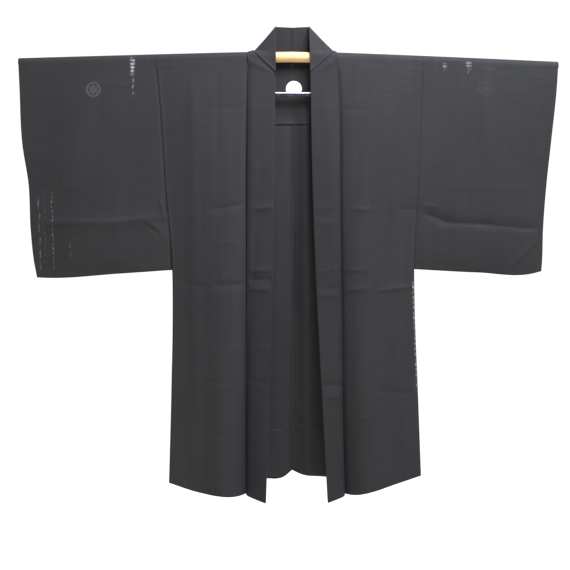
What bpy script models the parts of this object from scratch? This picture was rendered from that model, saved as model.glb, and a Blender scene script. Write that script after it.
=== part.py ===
"""A man's unlined haori jacket hung on a wooden rod with a flat lower bar.

The front faces -Y and +X is the wearer's left. The origin is the middle of the rod, where it is held.
Sizes are in millimetres and become metres where a mesh is made.
"""

import math
from collections import namedtuple

import bpy
import numpy as np

MM = 0.001

# Driving sizes
CLOTH_WALL = 1.2
COLLAR_WALL = 2.4
SEAM_GAP = 0.3
SLANT_ROOM = 0.3  # more room at a seam whose two walls slant to each other
CENTRE_GAP = (SEAM_GAP + SLANT_ROOM) / 2  # from the middle to each half's edge at the centre back seam
ROD_RADIUS = 12.5
ROD_REACH = 622.0
ROD_SIDES_LEVEL = 4
WRAP_RADIUS = ROD_RADIUS + 0.6 + CLOTH_WALL  # outer face of the cloth over the rod
DROOP_POWER = 1.15
BAR_HALF_LENGTH = 180.0
BAR_TOP = -84.5
BAR_HEIGHT = 11.5
BAR_DEPTH = 8.0
LINK_X = 150.0
LINK_WIDTH = 12.0
LINK_DEPTH = 3.0

# Sewing lengths
ARMHOLE_DROP = 420.0
WRIST_DROP = 250.0
GUSSET_TOP_DROP = 524.0
YOKE_REACH = 250.0
NECK_ARC = 160.0  # degrees round the rod at which the back neckline is cut
COLLAR_TOP = 72.6
THROAT_DROP = 38.0  # where the collar's turned-out part ends at its free edge
COLLAR_PROUD = 2.0
NECK_ROLL = 3.5  # how far the collar's fold at the neck rounds out
GUSSET_FOLDS = (1.0, 9.0)  # how far the gusset folds in at its top and at the hem
GUSSET_ROWS = 11

# Grid steps
ARC_DEGREES = 20.0
FALL_STEPS = [0.02, 0.06, 0.105, 0.155, 0.22, 0.29, 0.36, 0.43, 0.5, 0.57, 0.64, 0.71, 0.78, 0.85, 0.92, 1.0]
YOKE_ROWS = 4  # the yoke covers this many of the fall steps
BODY_STEPS = [0.0, 0.1, 0.22, 0.36, 0.52, 0.7, 0.86, 1.0]
INNER_STEPS = [0.0, 0.25, 0.5, 0.75]
SLEEVE_FALL_STEPS = [0.04, 0.13, 0.24, 0.36, 0.47, 0.58, 0.69, 0.79, 0.89, 0.96, 1.0]
SLEEVE_STEPS = [0.0, 0.08, 0.24, 0.42, 0.6, 0.78, 0.93, 1.0]
GUSSET_STEPS = [0.0, 0.33, 0.67, 1.0]
COLLAR_STEPS = [0.0, 0.08, 0.17, 0.3, 0.5, 0.75, 1.0]

# One row for each level: drop below the rod, then places across and depths from the rod's axis plane.
FrontRow = namedtuple("FrontRow", "drop seam_x side_x free_x free seam ridge middle side")
BackRow = namedtuple("BackRow", "drop centre neck middle")
SleeveRow = namedtuple("SleeveRow", "drop wrist_x inner middle wrist")
HemPoint = namedtuple("HemPoint", "across drop")
Side = namedtuple("Side", "name sign droop neck_x fronts sleeve front_hem back_hem sleeve_hem")

FRONTS_RIGHT = [
    FrontRow(0, 101.0, 327.7, 40.0, 17.5, 14.3, 14.3, 14.3, 14.3),
    FrontRow(120, 106.6, 317.0, 41.5, 18.0, 15.0, 18.0, 17.0, 13.2),
    FrontRow(320, 107.5, 304.0, 43.5, 21.0, 16.5, 22.0, 19.0, 10.6),
    FrontRow(520, 108.5, 287.0, 47.0, 26.0, 18.0, 28.0, 22.0, 9.5),
    FrontRow(600, 109.0, 286.0, 49.0, 30.0, 19.0, 31.0, 24.0, 11.5),
    FrontRow(800, 110.5, 288.5, 55.5, 41.0, 21.5, 41.0, 30.0, 18.0),
    FrontRow(1060, 112.3, 294.5, 64.0, 56.0, 24.0, 50.0, 37.0, 30.0),
]
FRONTS_LEFT = [
    FrontRow(0, 108.0, 312.6, 44.0, 17.5, 14.3, 14.3, 14.3, 14.3),
    FrontRow(120, 113.4, 309.0, 46.0, 18.0, 15.0, 18.0, 17.0, 13.2),
    FrontRow(320, 115.0, 301.0, 50.0, 21.0, 16.5, 22.0, 19.0, 10.6),
    FrontRow(520, 117.5, 292.5, 57.5, 26.0, 18.0, 28.0, 22.0, 9.5),
    FrontRow(600, 119.0, 293.5, 61.0, 30.0, 19.0, 31.0, 24.0, 11.5),
    FrontRow(800, 121.5, 300.5, 71.5, 41.0, 22.0, 42.0, 31.0, 18.0),
    FrontRow(1060, 128.0, 309.0, 85.5, 56.0, 26.0, 50.0, 40.0, 30.0),
]
BACKS = [
    BackRow(0, 14.3, 14.3, 14.3),
    BackRow(160, 18.0, 16.0, 15.0),
    BackRow(520, 25.0, 18.5, 16.0),
    BackRow(800, 31.0, 20.5, 20.0),
    BackRow(1060, 36.0, 22.0, 27.0),
]
SLEEVE_RIGHT = [
    SleeveRow(0, 655.4, 14.3, 14.3, 14.3),
    SleeveRow(72, 652.4, 13.7, 14.5, 12.0),
    SleeveRow(211, 646.0, 12.0, 13.5, 8.0),
    SleeveRow(302, 632.0, 10.9, 12.5, 6.0),
    SleeveRow(418, 626.5, 10.0, 11.5, 4.6),
    SleeveRow(490, 619.0, 5.6, 8.0, 3.8),
    SleeveRow(532, 611.0, 3.4, 3.6, 3.4),
]
SLEEVE_LEFT = [
    SleeveRow(0, 637.3, 14.3, 14.3, 14.3),
    SleeveRow(72, 633.5, 13.7, 14.5, 12.0),
    SleeveRow(211, 619.6, 12.0, 13.5, 8.0),
    SleeveRow(302, 610.0, 10.9, 12.5, 6.0),
    SleeveRow(418, 601.5, 10.0, 11.5, 4.6),
    SleeveRow(490, 599.5, 5.6, 8.0, 3.8),
    SleeveRow(520, 597.0, 3.4, 3.6, 3.4),
]
RIGHT = Side(
    "right", -1, 16.0, 91.0, FRONTS_RIGHT, SLEEVE_RIGHT,
    [HemPoint(0.0, 1046.0), HemPoint(0.1, 1049.0), HemPoint(0.35, 1047.0), HemPoint(0.6, 1040.0), HemPoint(1.0, 1018.0)],
    [HemPoint(0.0, 996.0), HemPoint(0.06, 1010.0), HemPoint(0.25, 1014.0), HemPoint(1.0, 1020.0)],
    [HemPoint(0.0, 511.0), HemPoint(0.4, 521.0), HemPoint(0.93, 531.0), HemPoint(1.0, 526.0)],
)
LEFT = Side(
    "left", 1, 25.0, 100.0, FRONTS_LEFT, SLEEVE_LEFT,
    [HemPoint(0.0, 1046.0), HemPoint(0.1, 1046.0), HemPoint(0.35, 1037.0), HemPoint(0.68, 1019.0), HemPoint(1.0, 1001.0)],
    [HemPoint(0.0, 996.0), HemPoint(0.06, 1004.0), HemPoint(0.25, 1010.0), HemPoint(1.0, 1003.0)],
    [HemPoint(0.0, 509.0), HemPoint(0.5, 517.0), HemPoint(0.94, 519.0), HemPoint(1.0, 514.0)],
)


def smooth(stations, values, at):
    """A smooth curve through the values at their stations, read at one place."""
    stations = np.asarray(stations, float)
    values = np.asarray(values, float)
    at = min(max(at, stations[0]), stations[-1])
    slopes = np.gradient(values, stations)
    k = min(int(np.searchsorted(stations, at, side="right")) - 1, len(stations) - 2)
    step = stations[k + 1] - stations[k]
    t = (at - stations[k]) / step
    start = (1 + 2 * t) * (1 - t) ** 2 * values[k] + t * (1 - t) ** 2 * step * slopes[k]
    end = t * t * (3 - 2 * t) * values[k + 1] + t * t * (t - 1) * step * slopes[k + 1]
    return float(start + end)


def column(rows, name, drop):
    """One named column of a table, read at a drop."""
    return smooth([row.drop for row in rows], [getattr(row, name) for row in rows], drop)


def hem_drop(points, across):
    return smooth([point.across for point in points], [point.drop for point in points], across)


def mix(a, b, t):
    return a + (b - a) * t


def rod_drop(side, x):
    """How far the rod's axis has bowed down at a distance x from its middle."""
    return side.droop * (x / ROD_REACH) ** DROOP_POWER


def front_depth(side, across, drop):
    """Depth of the front body panel's outer face, from the collar seam (0) to the side seam (1)."""
    stations = [0.0, 0.22, 0.6, 1.0]
    names = ["seam", "ridge", "middle", "side"]
    return smooth(stations, [column(side.fronts, name, drop) for name in names], across)


def back_depth(side, across, drop):
    """Depth of the back panel's outer face, from the centre back seam (0) to the side seam (1)."""
    names = ["neck", "centre", "neck", "middle"]
    values = [column(BACKS, name, drop) for name in names] + [column(side.fronts, "side", drop)]
    return smooth([-0.3, 0.0, 0.3, 0.65, 1.0], values, across)


def front_point(side, across, fall):
    """A point of the front body panel: across from the collar seam to the side, fall from rod to hem."""
    top_x = mix(side.fronts[0].seam_x, side.fronts[0].side_x, across)
    top = rod_drop(side, top_x)
    drop = mix(top, hem_drop(side.front_hem, across), fall)
    x = mix(column(side.fronts, "seam_x", drop), column(side.fronts, "side_x", drop), across)
    return side.sign * x, -front_depth(side, across, drop), -drop


def back_point(side, x_share, fall, inset=0.0):
    """A point of the back panel: x_share from the centre seam to the side, fall from rod to hem."""
    top = rod_drop(side, x_share * side.fronts[0].side_x)
    drop = mix(top, hem_drop(side.back_hem, x_share), fall)
    x = mix(CENTRE_GAP, column(side.fronts, "side_x", drop), x_share)
    return side.sign * x, back_depth(side, x_share, drop) - inset, -drop


def arc_point(side, x, degrees, radius=WRAP_RADIUS):
    """A point of cloth over the rod: 0 degrees faces the front and 180 the back."""
    angle = math.radians(degrees)
    return side.sign * x, -radius * math.cos(angle), radius * math.sin(angle) - rod_drop(side, x)


def arc_angles():
    return np.arange(0.0, 180.0 + ARC_DEGREES / 2, ARC_DEGREES)


def neck_line_x(side, degrees):
    """The body panel's inner edge over the rod: it runs in to the neck point, then straight back."""
    share = min(degrees, 90.0) / 90.0
    return mix(side.fronts[0].seam_x, side.neck_x, share)


def material(name, colour, roughness, metallic=0.0):
    made = bpy.data.materials.new(name)
    made.use_nodes = True
    shader = made.node_tree.nodes["Principled BSDF"]
    shader.inputs["Base Color"].default_value = (*colour, 1.0)
    shader.inputs["Roughness"].default_value = roughness
    shader.inputs["Metallic"].default_value = metallic
    made.diffuse_color = (*colour, 1.0)
    return made


def add_sheet(name, points, faces, wall, finish, collection):
    """An open surface of points in millimetres, given its wall on the inner side by Solidify."""
    mesh = bpy.data.meshes.new(name)
    mesh.from_pydata([tuple(MM * c for c in p) for p in points], [], faces)
    mesh.validate()
    mesh.materials.append(finish)
    mesh.shade_smooth()
    obj = bpy.data.objects.new(name, mesh)
    collection.objects.link(obj)
    solidify = obj.modifiers.new("wall", "SOLIDIFY")
    solidify.thickness = wall * MM
    solidify.offset = -1.0
    solidify.use_even_offset = True
    return obj


def grid_faces(columns, rows, keep=lambda i, j: True, flip=False):
    """Quads of a grid whose points run row by row, for the cells that are kept."""
    faces = []
    for j in range(rows - 1):
        for i in range(columns - 1):
            if not keep(i, j):
                continue
            corner = j * columns + i
            quad = (corner, corner + 1, corner + columns + 1, corner + columns)
            faces.append(quad[::-1] if flip else quad)
    return faces


def without_loose(points, faces):
    """Drops the points that no face uses."""
    used = sorted({index for face in faces for index in face})
    place = {old: new for new, old in enumerate(used)}
    return [points[old] for old in used], [tuple(place[index] for index in face) for face in faces]


def body_panel(side, collection, finish):
    """One body length: front hem, up, over the rod and down to the back hem, with the neck cut away."""
    inner = len(INNER_STEPS)
    outer_share = side.neck_x / side.fronts[0].side_x
    rows = []
    for fall in reversed(FALL_STEPS):
        rows.append([(0, 0, 0)] * inner + [front_point(side, across, fall) for across in BODY_STEPS])
    front_rows = len(rows)
    for degrees in arc_angles():
        row = [
            arc_point(side, mix(CENTRE_GAP, side.neck_x, share), degrees) for share in INNER_STEPS
        ]
        for across in BODY_STEPS:
            x = mix(neck_line_x(side, degrees), side.fronts[0].side_x, across)
            row.append(arc_point(side, x, degrees))
        rows.append(row)
    for fall in FALL_STEPS:
        row = [back_point(side, share * outer_share, fall) for share in INNER_STEPS]
        row += [back_point(side, mix(outer_share, 1.0, across), fall) for across in BODY_STEPS]
        rows.append(row)
    neck_row = front_rows + int(round(NECK_ARC / ARC_DEGREES))
    columns = inner + len(BODY_STEPS)
    faces = grid_faces(
        columns, len(rows), keep=lambda i, j: i >= inner or j >= neck_row, flip=side.sign < 0
    )
    points, faces = without_loose([point for row in rows for point in row], faces)
    return add_sheet(f"body_{side.name}", points, faces, CLOTH_WALL, finish, collection)


def sleeve_x(side, across, drop):
    inner = column(side.fronts, "side_x", drop) + SEAM_GAP + SLANT_ROOM
    return mix(inner, column(side.sleeve, "wrist_x", drop), across)


def sleeve_point(side, across, fall, facing):
    """A point of the sleeve, facing -1 for its front and 1 for its back."""
    top = rod_drop(side, sleeve_x(side, across, 0.0))
    drop = mix(top, hem_drop(side.sleeve_hem, across), fall)
    values = [column(side.sleeve, name, drop) for name in ("inner", "middle", "middle", "wrist")]
    if drop < ARMHOLE_DROP:
        values[0] = column(side.fronts, "side", drop)
    depth = smooth([0.0, 0.3, 0.7, 1.0], values, across)
    return side.sign * sleeve_x(side, across, drop), facing * depth, -drop


def sleeve(side, collection, finish):
    """A length folded over the rod, closed along the bottom, below the wrist and below the armhole."""
    rows = [
        [sleeve_point(side, across, fall, -1) for across in SLEEVE_STEPS]
        for fall in reversed(SLEEVE_FALL_STEPS)
    ]
    for degrees in arc_angles():
        rows.append([arc_point(side, sleeve_x(side, across, 0.0), degrees) for across in SLEEVE_STEPS])
    rows += [
        [sleeve_point(side, across, fall, 1) for across in SLEEVE_STEPS] for fall in SLEEVE_FALL_STEPS
    ]
    columns = len(SLEEVE_STEPS)
    last = len(rows) - 1
    flip = side.sign < 0
    faces = grid_faces(columns, len(rows), flip=flip)

    def add(quad):
        faces.append(quad[::-1] if flip else quad)

    for i in range(columns - 1):
        add((last * columns + i, last * columns + i + 1, i + 1, i))
    for j in range(len(SLEEVE_FALL_STEPS) - 1):
        below, above = j * columns, (j + 1) * columns
        back_below, back_above = (last - j) * columns, (last - j - 1) * columns
        end = columns - 1
        if -rows[j + 1][end][2] >= WRIST_DROP:
            add((below + end, back_below + end, back_above + end, above + end))
        if -rows[j + 1][0][2] >= ARMHOLE_DROP:
            add((below, above, back_above, back_below))
    points = [point for row in rows for point in row]
    return add_sheet(f"sleeve_{side.name}", points, faces, CLOTH_WALL, finish, collection)


def gusset(side, collection, finish):
    """The narrow wedge between front and back down the side, a little folded in."""
    top = GUSSET_TOP_DROP
    bottom = hem_drop(side.front_hem, 1.0)
    clear = CLOTH_WALL + SEAM_GAP + SLANT_ROOM
    rows = []
    for share in np.linspace(0.0, 1.0, GUSSET_ROWS):
        drop = mix(top, bottom - 1.0, share)
        x = column(side.fronts, "side_x", drop) - SEAM_GAP
        reach = column(side.fronts, "side", drop) - clear
        fold = mix(*GUSSET_FOLDS, share)
        rows.append(
            [
                (side.sign * (x - fold * math.sin(math.pi * step)), mix(-reach, reach, step), -drop)
                for step in GUSSET_STEPS
            ]
        )
    faces = grid_faces(len(GUSSET_STEPS), len(rows), flip=side.sign > 0)
    points = [point for row in rows for point in row]
    return add_sheet(f"gusset_{side.name}", points, faces, CLOTH_WALL, finish, collection)


def collar_front_sections(side):
    """Sections of the collar down one front, as (seam point, free point), from the hem up."""
    sections = []
    gap = SEAM_GAP + SLANT_ROOM
    for fall in reversed(FALL_STEPS[2:]):
        seam_drop = mix(0.0, side.front_hem[0].drop + 2.0, fall)
        free_drop = mix(THROAT_DROP - 60.0, side.front_hem[0].drop + 17.0, fall)
        seam_x = column(side.fronts, "seam_x", seam_drop) - gap
        seam_y = -column(side.fronts, "seam", seam_drop) - COLLAR_PROUD
        free_y = -column(side.fronts, "free", free_drop)
        free_x = column(side.fronts, "free_x", free_drop)
        sections.append(
            ((side.sign * seam_x, seam_y, -seam_drop), (side.sign * free_x, free_y, -free_drop))
        )
    return sections


def collar_neck_sections(side):
    """The sections that turn the collar from the front strip to the standing back.

    Below the diagonal from the neck point to the throat the strip lies flat. Above it the collar is turned out
    in a triangle, whose far side rolls back into the standing part.
    """
    radius = WRAP_RADIUS + COLLAR_PROUD
    free_x = side.fronts[0].free_x
    inward = SEAM_GAP + SLANT_ROOM
    diagonal = math.atan2(COLLAR_TOP - WRAP_RADIUS, side.neck_x - free_x)

    def seam(degrees):
        return arc_point(side, neck_line_x(side, degrees) - inward, degrees, radius)

    def free(y, z, out=0.0):
        return side.sign * (free_x + out * math.sin(diagonal)), y, z + out * math.cos(diagonal)

    below_rod = front_point(side, 0.0, FALL_STEPS[0])
    low_seam = (below_rod[0] - side.sign * inward, -radius, below_rod[2] - 8.0)
    return [
        (low_seam, free(-17.6, -THROAT_DROP - 7.0)),
        (seam(20), free(-17.6, -THROAT_DROP - 5.0)),
        (seam(45), free(-17.6, -THROAT_DROP - 3.0)),
        (seam(65), free(-17.6, -THROAT_DROP - 1.5)),
        (seam(82), free(-17.6, -THROAT_DROP)),
        (seam(85), free(-17.6, -20.0)),
        (seam(87), free(-17.6, -5.0)),
        (seam(89), free(-16.8, 7.0)),
        (seam(91), free(-14.8, 20.0)),
        (seam(95), free(-8.5, 46.0)),
        (seam(100), free(-1.0, COLLAR_TOP - 4.0)),
        (seam(115), free(3.0, COLLAR_TOP - 2.0, NECK_ROLL)),
        (seam(135), free(7.5, COLLAR_TOP - 4.0)),
    ]


def clear_of_rod(side, point):
    """Moves a point of the collar's front out round the rod, and straight down from the rod's front."""
    x, y, z = point
    radius = WRAP_RADIUS + COLLAR_PROUD
    height = z + rod_drop(side, abs(x))
    if y <= 0 and height < radius:
        y = min(y, -math.sqrt(radius**2 - max(height, 0.0) ** 2))
    return x, y, z


def collar_back_sections(side):
    """Sections of the standing back collar from one neck point to the middle."""
    radius = WRAP_RADIUS + COLLAR_PROUD
    free_x = side.fronts[0].free_x
    sections = []
    for share in (0.8, 0.55, 0.28):
        x = side.neck_x * share
        low = arc_point(side, x, NECK_ARC - 3.0, radius)
        sections.append((low, (side.sign * free_x * share, 10.5, COLLAR_TOP - 0.6)))
    return sections


def collar(collection, finish):
    """One doubled strip from the right front hem up, round the neck and down to the left front hem."""
    up = collar_front_sections(RIGHT) + collar_neck_sections(RIGHT) + collar_back_sections(RIGHT)
    down = collar_front_sections(LEFT) + collar_neck_sections(LEFT) + collar_back_sections(LEFT)
    middle_low = (0.0, up[-1][0][1], up[-1][0][2])
    sections = up + [(middle_low, (0.0, 10.5, COLLAR_TOP - 1.2))] + down[::-1]
    points = []
    for seam, free in sections:
        side = RIGHT if seam[0] < 0 else LEFT
        for step in COLLAR_STEPS:
            point = tuple(mix(a, b, step) for a, b in zip(seam, free))
            points.append(clear_of_rod(side, point))
    faces = grid_faces(len(COLLAR_STEPS), len(sections))
    return add_sheet("collar", points, faces, COLLAR_WALL, finish, collection)


def back_yoke(collection, finish):
    """The shoulder lining, made from the back panels' own points moved inwards."""
    inset = CLOTH_WALL + SEAM_GAP
    columns = None
    rows = []
    for fall in FALL_STEPS[:YOKE_ROWS]:
        row = []
        for side in (RIGHT, LEFT):
            outer_share = side.neck_x / side.fronts[0].side_x
            shares = [share * outer_share for share in INNER_STEPS]
            shares += [mix(outer_share, 1.0, across) for across in BODY_STEPS]
            shares = [share for share in shares if share * side.fronts[0].side_x <= YOKE_REACH]
            half = [back_point(side, share, fall, inset) for share in shares]
            row += half[::-1] if side.sign < 0 else half
        columns = len(row)
        rows.append(row)
    points = [point for row in rows for point in row]
    faces = grid_faces(columns, len(rows))
    return add_sheet("back_yoke", points, faces, CLOTH_WALL, finish, collection)


def rod(collection, finish):
    """The round rod, bowed a little down towards each end."""
    curve = bpy.data.curves.new("rod", "CURVE")
    curve.dimensions = "3D"
    curve.bevel_depth = ROD_RADIUS * MM
    curve.bevel_resolution = ROD_SIDES_LEVEL
    curve.use_fill_caps = True
    spline = curve.splines.new("POLY")
    stations = np.linspace(-ROD_REACH, ROD_REACH, 33)
    spline.points.add(len(stations) - 1)
    for point, x in zip(spline.points, stations):
        side = RIGHT if x < 0 else LEFT
        point.co = (x * MM, 0.0, -rod_drop(side, abs(x)) * MM, 1.0)
    curve.materials.append(finish)
    obj = bpy.data.objects.new("rod", curve)
    collection.objects.link(obj)
    return obj


def add_box(name, centre, size, bevel, finish, collection):
    """A box with rounded edges, by its centre and size in millimetres."""
    bpy.ops.mesh.primitive_cube_add(size=1.0, location=tuple(MM * c for c in centre))
    obj = bpy.context.object
    obj.name = name
    obj.scale = tuple(MM * s for s in size)
    bpy.ops.object.transform_apply(location=False, rotation=False, scale=True)
    obj.data.materials.append(finish)
    rounding = obj.modifiers.new("edges", "BEVEL")
    rounding.width = bevel * MM
    rounding.segments = 2
    for old in obj.users_collection:
        old.objects.unlink(obj)
    collection.objects.link(obj)
    return obj


def lower_bar(collection, finish):
    centre = (0.0, 0.0, BAR_TOP - BAR_HEIGHT / 2)
    return add_box("lower_bar", centre, (2 * BAR_HALF_LENGTH, BAR_DEPTH, BAR_HEIGHT), 1.0, finish, collection)


def link(side, collection, finish):
    """A plain flat link from the rod's underside to the bar's top."""
    top = -rod_drop(side, LINK_X) - ROD_RADIUS - SEAM_GAP
    bottom = BAR_TOP + SEAM_GAP
    centre = (side.sign * LINK_X, 0.0, (top + bottom) / 2)
    size = (LINK_WIDTH, LINK_DEPTH, top - bottom)
    return add_box(f"link_{side.name}", centre, size, 0.5, finish, collection)


def main():
    for old in list(bpy.data.objects):
        bpy.data.objects.remove(old, do_unlink=True)
    collection = bpy.data.collections.new("haori_on_rod")
    bpy.context.scene.collection.children.link(collection)
    gauze = material("charcoal_gauze", (0.055, 0.055, 0.062), 0.7)
    collar_gauze = material("collar_gauze", (0.05, 0.05, 0.056), 0.7)
    lining = material("yoke_lining", (0.06, 0.06, 0.066), 0.75)
    wood = material("pale_wood", (0.78, 0.62, 0.38), 0.45)
    metal = material("dark_metal", (0.05, 0.05, 0.055), 0.35, 0.8)
    rod(collection, wood)
    lower_bar(collection, metal)
    back_yoke(collection, lining)
    collar(collection, collar_gauze)
    for side in (RIGHT, LEFT):
        link(side, collection, metal)
        body_panel(side, collection, gauze)
        sleeve(side, collection, gauze)
        gusset(side, collection, gauze)


main()
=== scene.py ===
"""Looks of a man's unlined summer haori jacket, hung on a wooden rod with a dark flat bar below it.

Everything is in metres. The front faces -Y, +X is the wearer's left and the origin is the middle of the rod.
"""

import logging
import math
from dataclasses import dataclass, field
from enum import Enum
from typing import Callable, Optional, Sequence

import bpy
import numpy as np
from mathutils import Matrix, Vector


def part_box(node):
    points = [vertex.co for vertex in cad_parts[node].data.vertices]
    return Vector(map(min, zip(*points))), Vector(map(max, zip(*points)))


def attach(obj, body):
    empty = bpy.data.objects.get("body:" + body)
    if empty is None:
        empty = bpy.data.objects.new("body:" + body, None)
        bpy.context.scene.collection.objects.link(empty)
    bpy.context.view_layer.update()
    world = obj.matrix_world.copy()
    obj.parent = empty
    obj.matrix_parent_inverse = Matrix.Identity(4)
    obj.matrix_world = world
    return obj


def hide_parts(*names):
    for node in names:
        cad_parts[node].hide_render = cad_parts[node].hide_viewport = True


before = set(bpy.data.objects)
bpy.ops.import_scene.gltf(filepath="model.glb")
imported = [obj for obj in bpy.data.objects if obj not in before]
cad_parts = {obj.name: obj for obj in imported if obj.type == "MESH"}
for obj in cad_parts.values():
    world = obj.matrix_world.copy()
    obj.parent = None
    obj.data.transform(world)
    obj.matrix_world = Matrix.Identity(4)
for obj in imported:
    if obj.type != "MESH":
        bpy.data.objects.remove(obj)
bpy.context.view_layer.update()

logging.basicConfig(level=logging.INFO, format="%(levelname)s %(message)s")
LOG = logging.getLogger("haori")

Array = np.ndarray


# --------------------------------------------------------------------------------------------------
# Named options
# --------------------------------------------------------------------------------------------------


class Side(Enum):
    """The wearer's side, with the sign of X on it."""

    RIGHT = -1
    LEFT = 1


class Facing(Enum):
    """Which way a panel looks, with the sign of Y on it."""

    FRONT = -1
    BACK = 1


class Fold(Enum):
    """The section of a crease across its line."""

    PRESSED = "pressed"
    SOFT = "soft"


# --------------------------------------------------------------------------------------------------
# Tables of the cut and hang
# --------------------------------------------------------------------------------------------------


@dataclass(frozen=True)
class FrontLevel:
    """Places across and depths of a front panel and its collar strip at one drop below the rod."""

    drop: float
    seam_x: float
    side_x: float
    free_x: float
    free: float
    seam: float
    ridge: float
    middle: float
    side: float


@dataclass(frozen=True)
class BackLevel:
    """Depths of the back at one drop below the rod."""

    drop: float
    centre: float
    neck: float
    middle: float


@dataclass(frozen=True)
class SleeveLevel:
    """The wrist edge's place and the sleeve's half thickness at one drop below the rod."""

    drop: float
    wrist_x: float
    inner: float
    middle: float
    wrist: float


@dataclass(frozen=True)
class HemPoint:
    """The drop of a hem at a share of the way across its panel."""

    across: float
    drop: float


@dataclass(frozen=True)
class Crease:
    """A crease along a straight line on one face of the garment, given by places across and drops.

    Heights are outwards, so a trough has a negative one. A crease that is wider below its line than above
    it has the lower width too.
    """

    start: tuple[float, float]
    end: tuple[float, float]
    height: float
    width: float
    fold: Fold = Fold.PRESSED
    below: Optional[float] = None


BACK_LEVELS = (
    BackLevel(0.0, 0.0143, 0.0143, 0.0143),
    BackLevel(0.160, 0.0180, 0.0160, 0.0150),
    BackLevel(0.520, 0.0250, 0.0185, 0.0160),
    BackLevel(0.800, 0.0310, 0.0205, 0.0200),
    BackLevel(1.060, 0.0360, 0.0220, 0.0270),
)


# --------------------------------------------------------------------------------------------------
# Number helpers
# --------------------------------------------------------------------------------------------------


def smooth(stations: Sequence[float], values: Array, at: Array) -> Array:
    """Reads a smooth curve through values at their stations.

    Args:
        stations: rising places of the values.
        values: one row of values, or one row for each place that is read.
        at: the places that are read.

    Returns:
        The curve's value at each place.
    """
    stations = np.asarray(stations, float)
    values = np.atleast_2d(np.asarray(values, float))
    at = np.clip(np.asarray(at, float).ravel(), stations[0], stations[-1])
    slopes = np.gradient(values, stations, axis=-1)
    k = np.clip(np.searchsorted(stations, at, side="right") - 1, 0, len(stations) - 2)
    rows = np.arange(len(at)) if values.shape[0] > 1 else np.zeros(len(at), int)
    step = stations[k + 1] - stations[k]
    t = (at - stations[k]) / step
    start = (1 + 2 * t) * (1 - t) ** 2 * values[rows, k] + t * (1 - t) ** 2 * step * slopes[rows, k]
    end = t * t * (3 - 2 * t) * values[rows, k + 1] + t * t * (t - 1) * step * slopes[rows, k + 1]
    return start + end


def column(levels: Sequence, name: str, drop: Array) -> Array:
    """Reads one named column of a table of levels at the given drops."""
    return smooth([level.drop for level in levels], [getattr(level, name) for level in levels], drop)


def hem_drop(points: Sequence[HemPoint], across: Array) -> Array:
    """Reads the drop of a hem at shares of the way across."""
    return smooth([point.across for point in points], [point.drop for point in points], across)


def mix(a: Array, b: Array, t: Array) -> Array:
    """Goes from a to b by the share t."""
    return a + (b - a) * t


def ramp(value: Array, low: float, high: float) -> Array:
    """Rises smoothly from 0 at low to 1 at high."""
    t = np.clip((value - low) / (high - low), 0.0, 1.0)
    return t * t * (3 - 2 * t)


def freed(drop: Array) -> Array:
    """How free of the rod the cloth is: 0 where it wraps the rod and 1 from just below it."""
    return ramp(drop, 0.012, 0.05)


def run_lengths(line: Array) -> Array:
    """Distance along a line of points from its first one."""
    return np.concatenate([[0.0], np.cumsum(np.linalg.norm(np.diff(line, axis=0), axis=-1))])


def lengths_from_top(line: Array) -> Array:
    """Distance along a line of points from its highest one, negative before it."""
    lengths = run_lengths(line)
    return lengths - lengths[int(np.argmax(line[:, 2]))]


def one_way(points: Array, axis: int, sign: int) -> Array:
    """The same outward direction at every point: along an axis, with a sign."""
    outward = np.zeros_like(points)
    outward[..., axis] = sign
    return outward


def over_and_down(points: Array, falls: int) -> Array:
    """Outward directions of a length over the rod: its front rows, the rows over the rod and its back rows."""
    outward = np.zeros_like(points)
    outward[:falls, :, 1] = -1
    outward[falls:-falls, :, 2] = 1
    outward[-falls:, :, 1] = 1
    return outward


# --------------------------------------------------------------------------------------------------
# Creases
# --------------------------------------------------------------------------------------------------


@dataclass(frozen=True)
class CreasePattern:
    """All the creases pressed or hung into one face of the garment, and the phase and share of its ripples."""

    creases: tuple[Crease, ...]
    phase: float
    rippled: float = 1.0

    def relief(self, x: Array, drop: Array) -> Array:
        """How far the cloth stands out at each point, with its creases and its ripples."""
        return self.height(x, drop) + self.rippled * ripples(x, drop, self.phase)

    def height(self, x: Array, drop: Array) -> Array:
        """Adds up the creases at each point.

        Args:
            x: places across.
            drop: distances below the rod.

        Returns:
            How far the cloth stands out at each point.
        """
        total = np.zeros_like(x)
        for crease in self.creases:
            ax, ad = crease.start
            bx, bd = crease.end
            length = math.hypot(bx - ax, bd - ad)
            ux, ud = (bx - ax) / length, (bd - ad) / length
            along = (x - ax) * ux + (drop - ad) * ud
            off = (x - ax) * ud - (drop - ad) * ux
            end_room = min(0.3 * length, 0.05)
            fade = ramp(along, -end_room * 0.4, end_room) * ramp(length - along, -end_room * 0.4, end_room)
            width = np.where(off > 0, crease.width, crease.below or crease.width)
            if crease.fold is Fold.PRESSED:
                shape = np.exp(-np.sqrt((off / width) ** 2 + 0.02))
            else:
                shape = np.exp(-((off / width) ** 2))
            total += crease.height * fade * shape
        return total


def ripples(x: Array, drop: Array, phase: float) -> Array:
    """Small slow waves that keep hung cloth from lying dead flat."""
    across = np.sin(x * 61.0 + 2.1 * np.sin(drop * 3.1 + phase) + phase) * 0.00045
    wide = np.sin(x * 23.0 - drop * 2.3 + 1.7 * phase) * 0.0008
    down = np.sin(drop * 37.0 + 3.0 * np.sin(x * 5.0 + phase)) * 0.0002
    return (across + wide) * ramp(drop, 0.02, 0.3) + down * ramp(drop, 0.03, 0.1)


# --------------------------------------------------------------------------------------------------
# Half of the garment: the shared surfaces that panels, sleeves, linings and strips are cut from
# --------------------------------------------------------------------------------------------------


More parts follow.
